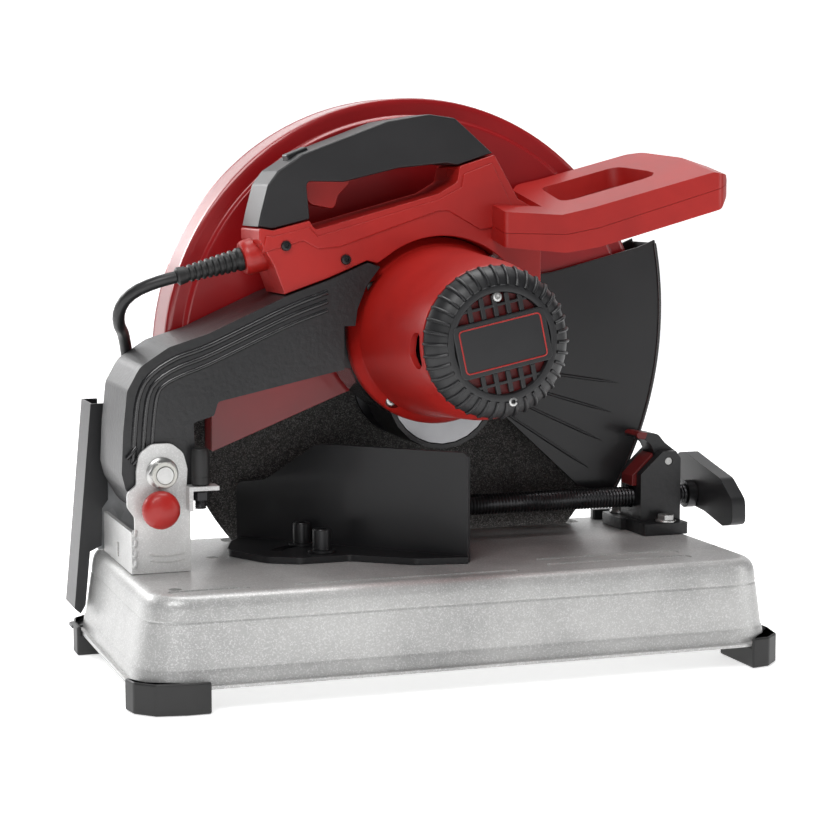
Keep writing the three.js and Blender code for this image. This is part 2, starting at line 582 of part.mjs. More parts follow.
// Disc set: spindle, flanges, disc, bolt and gear -------------------------------------------------
const discSet = new THREE.Group();
discSet.position.set(DISC.x, 0, DISC.z);
head.add(discSet);
const nearFace = DISC.y - DISC.thickness / 2;
const farFace = DISC.y + DISC.thickness / 2;
piece("abrasive_disc", ringY(DISC.bore, DISC.r, nearFace, farFace, 56), grit, [0, 0, 0], discSet);
piece("inner_flange", turned([[10.3, 84], [34, 84], [41, 85.5], [41, nearFace - GAP], [12.4, nearFace - GAP],
  [12.4, farFace - 0.3], [10.3, farFace - 0.3], [10.3, 84]], 20), steel, [0, 0, 0], discSet);
piece("outer_flange", turned([[5.3, farFace + GAP], [41, farFace + GAP], [41, farFace + 1.6], [34, farFace + 3.9],
  [5.3, farFace + 3.9], [5.3, farFace + GAP]], 20), steel, [0, 0, 0], discSet);
piece("spindle", turned([[0, 10], [7.7, 10], [7.7, 39], [8, 39], [8, 50], [10, 50.5], [10, farFace - 0.3],
  [5.4, farFace - 0.3], [5.4, farFace - 16], [0, farFace - 16]], 24), steel, [0, 0, 0], discSet);
piece("spindle_bolt", join(ringY(0, 5, farFace - 14, 97, 14), alongY(hex(9), 96.3, 103.5)), steel,
  [0, 0, 0], discSet);
piece(
  "drive_gear",
  cut(alongY(toothed(GEAR.gearTeeth, pitch.gear - 2.2, pitch.gear + 0.9, gearPhase), GEAR.near, GEAR.far),
    ringY(0, 8, 0, 60, 20)),
  steel, [0, 0, 0], discSet,
);
piece("spindle_bearing", ringY(8.3, 13, 39.2, 49.7, 16), steel, [0, 0, 0], discSet);

// Swing guard: a black sector that turns on the gear case's neck in front of the disc -------------
const rim = { x: -56.5, z: 240.5, r: 273.5 };
const swingOutline = (inset) => {
  const points = [[18, 256], [126.6, 271.8], [197.7, 289.9]];
  for (let i = 0; i <= 12; i++) {
    const turn = THREE.MathUtils.degToRad(11.6 - (i * 42.6) / 12);
    points.push([rim.x + (rim.r - inset) * Math.cos(turn), rim.z + (rim.r - inset) * Math.sin(turn)]);
  }
  return [...points, [149.4, 107.2], [89.8, 162], [22, 205]];
};
piece(
  "swing_guard",
  cut(
    join(
      alongY(swingOutline(0), 57.5, 59.5),
      atGuard(ringY(0, 50, 57.5, 59.5, 24)),
      cut(
        alongY(swingOutline(0), 57.6, 100),
        alongY([[-100, -100], ...swingOutline(2).slice(3, 16).reverse().map(([x, z], i) =>
          (i === 0 ? [x - 0.5, z - 60] : i === 12 ? [x, z + 60] : [x, z])), [-100, 400]], 57, 98),
        atGuard(ringY(0, 191.2, 57, 101, 72)),
      ),
    ),
    atGuard(ringY(0, 39, 50, 70, 24)),
  ),
  blackPaint, [0, 0, 0], head,
);

// Handle: two shells round the seam, a black grip, a trigger and a lock-off button ----------------
const shellOutline = [
  [-103.7, 262.6], [-72, 273.4], [-44.4, 284.9], [-36.5, 283],
  ...Array.from({ length: 9 }, (_, i) => {
    const turn = THREE.MathUtils.degToRad(126 - i * 13);
    return [MOTOR.x + 67.5 * Math.cos(turn), MOTOR.z + 67.5 * Math.sin(turn)];
  }),
  [88, 250], [86.4, 262], [86.4, 318, 4], [68.6, 327.5], [50.5, 358.6], [24.4, 350.4], [22.5, 339.5, 5],
  [8.2, 331.2, 6], [-81.4, 306.7, 4], [-85.6, 313], [-111.7, 306.5], [-121.6, 308.2], [-121.6, 300], [-111, 282],
];
const relief = { x: -127.5, y: HANDLE.seam, z: 286.6, length: 48 };
const reliefAxis = new THREE.Vector3(-52.8, 0, -13.6).normalize();
const alongRelief = (geometry) =>
  geometry
    .applyQuaternion(new THREE.Quaternion().setFromUnitVectors(new THREE.Vector3(0, 1, 0), reliefAxis))
    .translate(relief.x, relief.y, relief.z);
const boss = alongRelief(turned([[0, -28], [12.5, -28], [12.5, -3], [11, 0], [0, 0]], 20));
const bossBore = alongRelief(turned([[0, -15], [6.4, -15], [6.4, 1], [0, 1]], 16));
const seamGap = block([-200, HANDLE.seam - 0.15, 200], [200, HANDLE.seam + 0.15, 500]);
const wholeShell = cut(
  join(alongY(shellOutline, HANDLE.near, HANDLE.far, 4), boss),
  bossBore, seamGap,
  alongY([[-96, 284], [-58, 296], [30, 322], [60, 322], [66, 312], [40, 310], [-50, 290], [-90, 276]], 0, 16),
);
piece("handle_shell_near", common(wholeShell, block([-200, -30, 200], [200, HANDLE.seam, 400])), redPlastic,
  [0, 0, 0], head);
piece("handle_shell_far", common(wholeShell, block([-200, HANDLE.seam, 200], [200, 60, 400])), redPlastic,
  [0, 0, 0], head);
const gripOutline = [
  [-121.5, 309.2], [-119.4, 318.6], [-114.3, 337.6, 6], [-107.1, 347.1], [-96.5, 353.9], [-89.3, 358.7],
  [-27.9, 381.6, 12], [2.2, 386.7, 12], [21.9, 384.1, 8], [50.2, 359.8], [23.8, 351.2], [15.6, 352.6, 4],
  [-20, 349, 8], [-60, 339.5], [-87, 340, 4], [-84.6, 315], [-85.4, 313.6], [-111.6, 307.4],
];
const triggerPivot = { x: -56, z: 346 };
const buttonTurn = THREE.MathUtils.degToRad(-22);
const atButton = (geometry) => geometry.rotateY(buttonTurn).translate(-87.5, 0, 356);
piece(
  "grip",
  cut(
    alongY(gripOutline, HANDLE.near + 3, HANDLE.far - 3, 4),
    block([-90, 0, 333], [-50, 16, 352]),
    atButton(block([-8.5, 1, -5.5], [8.5, 15, 20])),
  ),
  blackPlastic, [0, 0, 0], head,
);
piece(
  "trigger",
  alongY([[-86.5, 346], [-86.5, 334, 3], [-80, 324, 6], [-62, 320.5, 4], [-60, 330, 6], [-52, 338, 3], [-52, 349, 4],
    [-58, 349.5]], 0.8, 15.2),
  redPlastic, [0, 0, 0], head,
);
piece("lock_off_button", atButton(block([-8, 1.5, -2], [8, 14.5, 5.5])), blackPlastic, [0, 0, 0], head);

// Loop handle: two halves seamed at mid height, on the front of the handle shells -----------------
const loopBand = [
  [48.3, 294], [95.4, 289.8], [120.7, 293.7], [216.4, 320, 6], [226, 330, 8], [223, 344, 6], [210, 346.6, 6],
  [114.2, 321.3], [91.3, 316.5], [48.3, 318.8],
];
const loopSeam = [[40, 304], [95.4, 302.8], [120, 307.2], [240, 342], [240, 400], [40, 400]];
const lean = new THREE.Matrix4().set(1, 0, 0, 0, 0, 1, 0, 0, 0, LOOP.rise, 1, -LOOP.rise * LOOP.near, 0, 0, 0, 1);
const loopPlan = [
  [48.3, LOOP.near, 3], [216, LOOP.near, 8], [226, -34, 8], [196, 50, 8], [186, LOOP.far, 6], [96, LOOP.far, 10],
  [86.8, 40, 6], [86.8, -17.4], [48.3, -17.4],
];
const loopHole = [[104, -13, 8], [184, -13, 12], [168, 34, 12], [106, 34, 8]];
const wholeLoop = cut(
  common(alongY(loopBand, LOOP.near - 5, LOOP.far + 5).applyMatrix4(lean), alongZ(loopPlan, 250, 400)),
  alongZ(loopHole, 250, 400),
);
const aboveSeam = (raise) => alongY(loopSeam, -60, 70).applyMatrix4(lean).translate(0, 0, raise);
piece("loop_handle_lower", cut(wholeLoop, aboveSeam(-0.15)), redPlastic, [0, 0, 0], head);
piece("loop_handle_upper", common(wholeLoop, aboveSeam(0.15)), redPlastic, [0, 0, 0], head);

// Power cord: strain relief, the run to the floor, a flat coil and the plug ------------------------
piece(
  "strain_relief",
  alongRelief(turned([[0, -14], [6, -14], [6, GAP], [8.2, GAP], [8.2, 3], [5.5, 43.5], [6.3, 44.5],
    [6.3, 47.2], [5, relief.length], [0, relief.length]], 16)),
  blackPlastic, [0, 0, 0], head,
);
const cordStart = reliefAxis.clone().multiplyScalar(relief.length + GAP + 0.1).add(relief);
piece(
  "cord_upper",
  tube([[cordStart.x, cordStart.y, cordStart.z], [-186, 9, 271.5], [-199, 14, 266], [-207.5, 20, 258.6],
    [-210.5, 27, 249], [-208.5, 36, 240.5], [-203, 52, 234], [-199, 63, 224], [-196, 70, 208], [-194, 80, 190],
    [-193, 91, 172], [-193, 96.5, 160], [-193, 98, 150]], CORD.r, 14, CORD.sides),
  rubber, [0, 0, 0], head,
);
const coil = { x: -52, y: 192, inner: 35, outer: 53, height: 27 };
piece(
  "cord_lower",
  tube([[-193, 98.1, 149.3], [-193, 99.8, 138], [-193, 103, 120], [-192.5, 110, 100], [-191, 124, 82], [-189, 134, 62], [-186, 139, 38],
    [-179, 141.6, 18], [-165, 143.6, 7.5], [-145, 144, 4.7], [-120, 143.6, 4.7], [-85, 143.4, 4.7]], CORD.r, 20, CORD.sides),
  rubber,
);
piece(
  "cord_coil",
  turnedZ([[coil.inner, 0.4], [coil.outer, 0.4], [coil.outer, coil.height], [coil.inner, coil.height],
    [coil.inner, 0.4]], 32),
  rubber, [coil.x, coil.y, 0],
);
piece(
  "plug",
  join(
    alongX([[-17, 0.6, 5], [17, 0.6, 5], [17, 30, 8], [-17, 30, 8]], 0, 34),
    alongX([[-8, 7, 4], [8, 7, 4], [8, 23, 4], [-8, 23, 4]], -18, 1),
    ringY(0, 2.4, 33, 53, 10).rotateZ(-Math.PI / 2).translate(0, -9.5, 15),
    ringY(0, 2.4, 33, 53, 10).rotateZ(-Math.PI / 2).translate(0, 9.5, 15),
  ),
  rubber, [coil.x + 94, coil.y - 4, 0],
);

export default machine;
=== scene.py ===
"""The looks of a bench-top cut-off saw: pieces, finishes, light and camera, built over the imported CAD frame.

Lengths are in millimetres in the saw's own frame until they reach Blender: x and y from the middle of the
tray, z from the floor. +X is the operator's end, +Y the disc's side, and -Y the motor's side.
"""

import math
import random

import bmesh
import bpy
from mathutils import Matrix, Vector


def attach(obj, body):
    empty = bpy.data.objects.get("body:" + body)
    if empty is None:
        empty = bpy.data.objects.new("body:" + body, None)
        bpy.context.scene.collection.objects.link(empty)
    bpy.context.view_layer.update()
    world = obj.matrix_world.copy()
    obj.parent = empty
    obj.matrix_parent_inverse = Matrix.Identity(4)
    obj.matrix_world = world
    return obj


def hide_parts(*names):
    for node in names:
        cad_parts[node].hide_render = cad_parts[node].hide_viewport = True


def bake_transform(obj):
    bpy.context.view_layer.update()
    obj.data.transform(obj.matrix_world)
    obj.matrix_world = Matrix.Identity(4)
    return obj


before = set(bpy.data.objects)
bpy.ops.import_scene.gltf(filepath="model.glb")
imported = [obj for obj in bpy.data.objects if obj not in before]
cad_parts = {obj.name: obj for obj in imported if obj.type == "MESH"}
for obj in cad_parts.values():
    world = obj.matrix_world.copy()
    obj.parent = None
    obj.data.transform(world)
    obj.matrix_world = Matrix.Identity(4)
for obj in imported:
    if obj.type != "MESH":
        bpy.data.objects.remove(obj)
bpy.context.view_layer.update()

# Camera and studio. One long lens from the front left, a large soft key over the left shoulder,
# a fill from the right, a strip behind for the edges, and a plain pale floor.
TRAY_MIDDLE = (8.25, -5.0)


def at(x, y, z):
    """A point of the saw in Blender's metres."""
    return Vector(((x - TRAY_MIDDLE[0]) / 1000, (y - TRAY_MIDDLE[1]) / 1000, z / 1000))


lens = bpy.data.cameras.new("long_lens")
lens.lens = 92.21
lens.sensor_width = 36
lens.clip_start = 0.05
camera = bpy.data.objects.new("camera", lens)
camera.location = at(-496.42, -1428.6, 341.19)
camera.rotation_euler = (math.radians(83.68), 0, math.radians(-19.05))
bpy.context.collection.objects.link(camera)
bpy.context.scene.camera = camera

for name, place, target, size, power in [
    ("key", (-700, -1000, 1400), (0, 0, 200), (0.8, 0.8), 15),
    ("fill", (1500, -900, 420), (0, 0, 160), (0.5, 1.2), 5),
    ("top", (100, 150, 1500), (0, 0, 200), (0.9, 0.5), 10),
    ("edge", (-900, 1300, 800), (0, 0, 250), (0.9, 0.5), 10),
    ("front", (-500, -1700, 160), (-50, 0, 90), (1.2, 0.3), 2.6),
]:
    softbox = bpy.data.lights.new(name, "AREA")
    softbox.shape = "RECTANGLE"
    softbox.size, softbox.size_y = size
    softbox.energy = power
    lamp = bpy.data.objects.new(name, softbox)
    lamp.location = at(*place)
    lamp.rotation_euler = (at(*target) - lamp.location).to_track_quat("-Z", "Y").to_euler()
    bpy.context.collection.objects.link(lamp)

world = bpy.data.worlds.new("studio")
world.use_nodes = True
bpy.context.scene.world = world
nodes, links = world.node_tree.nodes, world.node_tree.links
background = nodes["Background"]
seen = nodes.new("ShaderNodeLightPath")
shade = nodes.new("ShaderNodeMix")
shade.data_type = "RGBA"
shade.inputs["A"].default_value = (0.10, 0.10, 0.105, 1)
shade.inputs["B"].default_value = (1, 1, 1, 1)
links.new(seen.outputs["Is Camera Ray"], shade.inputs["Factor"])
links.new(shade.outputs["Result"], background.inputs["Color"])
bpy.context.scene.view_settings.view_transform = "Standard"

SWEEP_START, SWEEP_RADIUS = 1.4, 0.9
sweep = [(-4.0, 0.0), (SWEEP_START, 0.0)]
for k in range(1, 25):
    turn = math.pi * k / 48
    sweep.append((SWEEP_START + SWEEP_RADIUS * math.sin(turn), SWEEP_RADIUS - SWEEP_RADIUS * math.cos(turn)))
sweep.append((2.3, 4.0))
floor_mesh = bpy.data.meshes.new("floor")
floor_mesh.from_pydata([(x, y, z) for y, z in sweep for x in (-5, 5)], [],
                       [(2 * i, 2 * i + 1, 2 * i + 3, 2 * i + 2) for i in range(len(sweep) - 1)])
floor_mesh.shade_smooth()
floor = bpy.data.objects.new("floor", floor_mesh)
floor.location.z = -0.0004
bpy.context.collection.objects.link(floor)
floor_paper = bpy.data.materials.new("floor_paper")
floor_paper.use_nodes = True
floor_shader = floor_paper.node_tree.nodes["Principled BSDF"]
floor_shader.inputs["Base Color"].default_value = (0.93, 0.93, 0.93, 1)
floor_shader.inputs["Roughness"].default_value = 0.9
floor_shader.inputs["Emission Color"].default_value = (1, 1, 1, 1)
floor_shader.inputs["Emission Strength"].default_value = 0.62
floor_mesh.materials.append(floor_paper)


# Power cord: an 8.5 mm rubber-sheathed lead, 1.93 m long. It leaves the strain relief at the rear of the
# handle, drops past the arm to the floor and ends in a round coil of five turns and a moulded plug.
def keep(name, mesh, material, body, replaces=()):
    """Puts a finished mesh on its body, under its name, with its finish."""
    piece = bpy.data.objects.new(name, mesh)
    bpy.context.collection.objects.link(piece)
    piece.data.materials.clear()
    piece.data.materials.append(material)
    evened = piece.modifiers.new("evened_normals", "WEIGHTED_NORMAL")
    evened.keep_sharp = True
    if replaces:
        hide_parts(*replaces)
    if body:
        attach(piece, body)
    return piece


def mesh_from(name, points, faces, crease=32):
    """A closed mesh with outward faces, smooth up to the crease angle."""
    mesh = bpy.data.meshes.new(name)
    mesh.from_pydata([at(*p) for p in points], [], faces)
    tidy = bmesh.new()
    tidy.from_mesh(mesh)
    bmesh.ops.remove_doubles(tidy, verts=tidy.verts, dist=1e-6)
    bmesh.ops.recalc_face_normals(tidy, faces=tidy.faces)
    tidy.to_mesh(mesh)
    tidy.free()
    mesh.shade_smooth()
    mesh.set_sharp_from_angle(angle=math.radians(crease))
    return mesh


def tube(name, path, radius, sides=20, radii=None):
    """A tube along points, with flat ends; radii may give a radius for each point."""
    spots = [Vector(p) for p in path]
    rows, side = [], None
    for i, spot in enumerate(spots):
        ahead = (spots[min(i + 1, len(spots) - 1)] - spots[max(i - 1, 0)]).normalized()
        side = ahead.orthogonal() if side is None else side - ahead * side.dot(ahead)
        side.normalize()
        up = ahead.cross(side)
        r = radii[i] if radii else radius
        rows.append([spot + (side * math.cos(a) + up * math.sin(a)) * r
                     for a in (2 * math.pi * k / sides for k in range(sides))])
    points = [p for row in rows for p in row]
    faces = [[i * sides + k, i * sides + (k + 1) % sides, (i + 1) * sides + (k + 1) % sides, (i + 1) * sides + k]
             for i in range(len(rows) - 1) for k in range(sides)]
    faces += [list(range(sides))[::-1], [(len(rows) - 1) * sides + k for k in range(sides)]]
    return mesh_from(name, points, faces, 40)


def smooth_path(points, step):
    """A smooth curve through points, with a point about every step."""
    spots = [Vector(p) for p in points]
    spots = [spots[0] * 2 - spots[1]] + spots + [spots[-1] * 2 - spots[-2]]
    curve = []
    for a, b, c, d in zip(spots, spots[1:], spots[2:], spots[3:]):
        n = max(1, round((c - b).length / step))
        for i in range(n):
            t = i / n
            curve.append(0.5 * (2 * b + (c - a) * t + (2 * a - 5 * b + 4 * c - d) * t ** 2
                                + (3 * b - a - 3 * c + d) * t ** 3))
    return curve + [spots[-2]]


# Wear that several finishes share: broad tone changes, fine grain and shallow scuffs on a surface.
def group_node(tree, kind, **values):
    node = tree.nodes.new(kind)
    for key, value in values.items():
        if hasattr(node, key):
            setattr(node, key, value)
        else:
            node.inputs[key.replace("_", " ")].default_value = value
    return node


wear = bpy.data.node_groups.new("surface_wear", "ShaderNodeTree")
for socket, default in [("Grain Scale", 900.0), ("Grain Depth", 0.2), ("Patch Scale", 9.0), ("Scuffs", 0.3)]:
    wear.interface.new_socket(socket, in_out="INPUT", socket_type="NodeSocketFloat").default_value = default
for socket, kind in [("Tone", "NodeSocketFloat"), ("Rub", "NodeSocketFloat"), ("Height", "NodeSocketFloat")]:
    wear.interface.new_socket(socket, in_out="OUTPUT", socket_type=kind)
wear_in, wear_out = wear.nodes.new("NodeGroupInput"), wear.nodes.new("NodeGroupOutput")
place = wear.nodes.new("ShaderNodeTexCoord")
patches = group_node(wear, "ShaderNodeTexNoise", Detail=5.0, Roughness=0.6)
grain = group_node(wear, "ShaderNodeTexNoise", Detail=2.0, Roughness=0.5)
stretch = group_node(wear, "ShaderNodeMapping")
stretch.inputs["Scale"].default_value = (1, 5, 14)
scratch = group_node(wear, "ShaderNodeTexNoise", Scale=70.0, Detail=6.0, Roughness=0.75)
scratch_mask = group_node(wear, "ShaderNodeMapRange")
scratch_mask.inputs["From Min"].default_value = 0.60
scratch_mask.inputs["From Max"].default_value = 0.72
scuff = group_node(wear, "ShaderNodeMath", operation="MULTIPLY")
grain_depth = group_node(wear, "ShaderNodeMath", operation="MULTIPLY")
height = group_node(wear, "ShaderNodeMath", operation="SUBTRACT")
for a, b in [
    (place.outputs["Object"], patches.inputs["Vector"]), (place.outputs["Object"], grain.inputs["Vector"]),
    (place.outputs["Object"], stretch.inputs["Vector"]), (stretch.outputs["Vector"], scratch.inputs["Vector"]),
    (wear_in.outputs["Patch Scale"], patches.inputs["Scale"]), (wear_in.outputs["Grain Scale"], grain.inputs["Scale"]),
    (scratch.outputs["Fac"], scratch_mask.inputs["Value"]), (scratch_mask.outputs["Result"], scuff.inputs[0]),
    (wear_in.outputs["Scuffs"], scuff.inputs[1]), (grain.outputs["Fac"], grain_depth.inputs[0]),
    (wear_in.outputs["Grain Depth"], grain_depth.inputs[1]), (grain_depth.outputs[0], height.inputs[0]),
    (scuff.outputs[0], height.inputs[1]), (patches.outputs["Fac"], wear_out.inputs["Tone"]),
    (scuff.outputs[0], wear_out.inputs["Rub"]), (height.outputs[0], wear_out.inputs["Height"]),
]:
    wear.links.new(a, b)


def worn_finish(name, colour, dark, rough, metal=0.0, grain=(900, 0.2), bump=0.15, scuffs=0.2, coat=0.0,
                patch=9.0, rub_rough=0.15, spread=0.1, distance=0.0002):
    """A finish whose tone, roughness and grain come from the shared wear."""
    finish = bpy.data.materials.new(name)
    finish.use_nodes = True
    tree = finish.node_tree
    shader = tree.nodes["Principled BSDF"]
    shader.inputs["Metallic"].default_value = metal
    shader.inputs["Coat Weight"].default_value = coat
    shader.inputs["Coat Roughness"].default_value = 0.12
    worn = tree.nodes.new("ShaderNodeGroup")
    worn.node_tree = wear
    worn.inputs["Grain Scale"].default_value, worn.inputs["Grain Depth"].default_value = grain
    worn.inputs["Patch Scale"].default_value = patch
    worn.inputs["Scuffs"].default_value = scuffs
    tone = tree.nodes.new("ShaderNodeMix")
    tone.data_type = "RGBA"
    tone.inputs["A"].default_value = (*dark, 1)
    tone.inputs["B"].default_value = (*colour, 1)
    spreader = group_node(tree, "ShaderNodeMapRange")
    spreader.inputs["From Min"].default_value, spreader.inputs["From Max"].default_value = 0.35, 0.62
    gloss = group_node(tree, "ShaderNodeMapRange")
    gloss.inputs["To Min"].default_value = rough - spread / 2
    gloss.inputs["To Max"].default_value = rough + spread / 2
    rubbed = group_node(tree, "ShaderNodeMath", operation="MULTIPLY_ADD")
    rubbed.inputs[1].default_value = rub_rough
    relief = group_node(tree, "ShaderNodeBump", Strength=bump, Distance=distance)
    for a, b in [
        (worn.outputs["Tone"], spreader.inputs["Value"]), (spreader.outputs["Result"], tone.inputs["Factor"]),
        (tone.outputs["Result"], shader.inputs["Base Color"]), (worn.outputs["Tone"], gloss.inputs["Value"]),
        (gloss.outputs["Result"], rubbed.inputs[2]), (worn.outputs["Rub"], rubbed.inputs[0]),
        (rubbed.outputs[0], shader.inputs["Roughness"]), (worn.outputs["Height"], relief.inputs["Height"]),
        (relief.outputs["Normal"], shader.inputs["Normal"]),
    ]:
        tree.links.new(a, b)
    return finish


cord_rubber = worn_finish("cord_rubber", (0.014, 0.014, 0.015), (0.008, 0.008, 0.008), 0.42, grain=(1500, 0.3),
                          bump=0.2)
CORD_RADIUS = 4.25
relief_axis = Vector((-52.8, 0, -13.6)).normalized()
relief_root = Vector((-127.5, 8, 286.6))
cord_exit = relief_root + relief_axis * 48.4
coil_middle = Vector((-52, 192, 0))
run = [cord_exit, (-186, 9, 271.5), (-199, 14, 266), (-207.5, 20, 258.6), (-210.5, 27, 249),
       (-208.5, 36, 240.5), (-203, 52, 234), (-199, 63, 224), (-196, 70, 208), (-194, 80, 190), (-193, 91, 172),
       (-193, 96.5, 160), (-193, 98, 150), (-193, 99.8, 138), (-193, 103, 120), (-192.5, 110, 100), (-191, 124, 82),
       (-189, 133, 64), (-184, 138.5, 42), (-174.5, 142, 23.5), (-160, 143.8, 10.5), (-141, 144, 4.9),
       (-118, 143.6, 4.7),
       (-85, 143.4, 4.7), (-68, 143.4, 4.7)]
# Where the turns lie, as (turn, radius, height): two columns of three layers, then the lead
# passes over them in a low hump on its way to the plug.
seats = [(0, 48.6, 4.7), (0.5, 48.6, 4.7), (1.0, 39.6, 4.7), (1.5, 39.6, 4.7), (1.75, 39.6, 13.4), (2.2, 39.6, 13.4),
         (2.62, 48.6, 13.4), (3.15, 48.6, 13.4), (3.6, 48.6, 22.1), (4.0, 48.6, 22.1), (4.35, 39.6, 22.1),
         (4.75, 39.6, 22.1), (5.15, 39.6, 30.4)]
coil_start = math.radians(270)
coil = []
for i in range(round(seats[-1][0] * 40) + 1):
    turn = i / 40
    low, high = next((a, b) for a, b in zip(seats, seats[1:]) if turn <= b[0] + 1e-9)
    t = (turn - low[0]) / (high[0] - low[0])
    t = t * t * (3 - 2 * t)
    r, z = (low[k] + (high[k] - low[k]) * t for k in (1, 2))
    turned = coil_start + turn * 2 * math.pi
    coil.append(coil_middle + Vector((r * math.cos(turned), r * math.sin(turned), z)))
heading = Vector((-math.sin(turned), math.cos(turned), 0))
bend_start = coil[-1] + heading * 4 + Vector((0, 0, -0.4))
across = [coil[-1] + (bend_start - coil[-1]) * 0.5, bend_start]
swing = math.atan2(heading.y, heading.x)
for k in range(1, 9):
    left = swing * (1 - k / 8)
    step = 38 * swing / 8
    across.append(across[-1] + Vector((math.cos(left + swing / 16), math.sin(left + swing / 16), 0)) * step
                  + Vector((0, 0, -1.55)))
across.append(Vector((25, 188, 15)))
lead = smooth_path(run + [coil[0]], 7) + coil[1:] + across
cord = keep("power_cord", tube("power_cord", lead, CORD_RADIUS, 16), cord_rubber, None,
            ["cord_upper", "cord_lower", "cord_coil"])
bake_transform(cord)


# Strain relief and plug: moulded rubber on the lead's two ends, ribbed where the lead bends.
def lathe(name, profile, middle, axis="y", sides=64, crease=32):
    """A profile of (radius, height) turned about an axis through a point."""
    spin = [(math.cos(a), math.sin(a)) for a in (2 * math.pi * k / sides for k in range(sides))]
    lay = {"y": lambda c, s, h: (c, h, s), "z": lambda c, s, h: (c, s, h), "x": lambda c, s, h: (h, c, s)}[axis]
    points, faces = [], []
    for r, h in profile:
        points += [Vector(middle) + Vector(lay(r * c, r * s, h)) for c, s in spin]
    closed = profile[0] == profile[-1]
    for i in range(len(profile) - 1):
        a, b = i * sides, (0 if closed and i == len(profile) - 2 else i + 1) * sides
        faces += [[a + k, a + (k + 1) % sides, b + (k + 1) % sides, b + k] for k in range(sides)]
    if not closed:
        faces += [list(range(sides)), [(len(profile) - 1) * sides + k for k in range(sides)]]
    return mesh_from(name, points, faces, crease)


def rounded(points, steps=6):
    """An outline of [u, v] points, where a third value rounds that corner."""
    path, n = [], len(points)
    for i, (u, v, *r) in enumerate(points):
        here = Vector((u, v))
        if not r or not r[0]:
            path.append(here)
            continue
        before = Vector(points[i - 1][:2]) - here
        after = Vector(points[(i + 1) % n][:2]) - here
        half = before.angle(after) / 2
        reach = min(r[0] / math.tan(half), before.length / 2, after.length / 2)
        start, end = here + before.normalized() * reach, here + after.normalized() * reach
        for k in range(steps + 1):
            t = k / steps
            path.append(start * (1 - t) ** 2 + here * 2 * t * (1 - t) + end * t * t)
    return path


def slab(name, shape, low, high, axis="y", steps=6):
    """An outline drawn out along an axis, before its edges are softened."""
    flat = rounded(shape, steps)
    lay = {"y": lambda p, h: (p.x, h, p.y), "z": lambda p, h: (p.x, p.y, h), "x": lambda p, h: (h, p.x, p.y)}[axis]
    n = len(flat)
    points = [lay(p, low) for p in flat] + [lay(p, high) for p in flat]
    faces = [[i, (i + 1) % n, n + (i + 1) % n, n + i] for i in range(n)]
    return mesh_from(name, points, faces + [list(range(n)), [n + i for i in range(n)]])


def shaped(mesh, *tools, operation="DIFFERENCE"):
    """The mesh with each tool cut from it, joined to it or kept in common with it."""
    work = bpy.data.objects.new("work", mesh)
    bpy.context.collection.objects.link(work)
    helpers = []
    for tool in tools:
        helper = bpy.data.objects.new("tool", tool)
        bpy.context.collection.objects.link(helper)
        helpers.append(helper)
        change = work.modifiers.new("change", "BOOLEAN")
        change.operation, change.object, change.solver = operation, helper, "EXACT"
    bpy.context.view_layer.update()
    done = bpy.data.meshes.new_from_object(work.evaluated_get(bpy.context.evaluated_depsgraph_get()))
    for helper in [work, *helpers]:
        bpy.data.objects.remove(helper)
    return done


def soften(mesh, edge=0.6, steps=3, angle=28, where=None, crease=38):
    """Rounds the sharp edges, as a mould, a press or a file leaves them."""
    work = bmesh.new()
    work.from_mesh(mesh)
    bmesh.ops.remove_doubles(work, verts=work.verts, dist=4e-6)
    bmesh.ops.dissolve_limit(work, angle_limit=math.radians(0.6), verts=work.verts, edges=work.edges)
    sharp = [e for e in work.edges if len(e.link_faces) == 2 and e.calc_face_angle(0) > math.radians(angle)
             and (where is None or where((e.verts[0].co + e.verts[1].co) * 500
                                         + Vector((TRAY_MIDDLE[0], TRAY_MIDDLE[1], 0))))]
    bmesh.ops.bevel(work, geom=sharp, offset=edge / 1000, segments=steps, profile=0.5, affect="EDGES",
                    clamp_overlap=True)
    bmesh.ops.recalc_face_normals(work, faces=work.faces)
    work.to_mesh(mesh)
    work.free()
    mesh.shade_smooth()
    mesh.set_sharp_from_angle(angle=math.radians(crease))
    return mesh


def together(name, meshes):
    """Several meshes of one piece as one."""
    work = bmesh.new()
    for mesh in meshes:
        work.from_mesh(mesh)
    mesh = bpy.data.meshes.new(name)
    work.to_mesh(mesh)
    work.free()
    mesh.shade_smooth()
    mesh.set_sharp_from_angle(angle=math.radians(38))
    return mesh


def turned_to(mesh, direction, root):
    """A mesh made about the Y axis at the tray's middle, laid along a direction from a root."""
    turn = Vector((0, 1, 0)).rotation_difference(Vector(direction).normalized()).to_matrix().to_4x4()
    mesh.transform(Matrix.Translation(at(*root)) @ turn @ Matrix.Translation(-at(0, 0, 0)))
    return mesh


def box_mesh(low, high):
    """A plain block, used as a cutter or softened afterwards."""
    (x0, y0, z0), (x1, y1, z1) = low, high
    return slab("block", [[x0, z0], [x1, z0], [x1, z1], [x0, z1]], y0, y1)


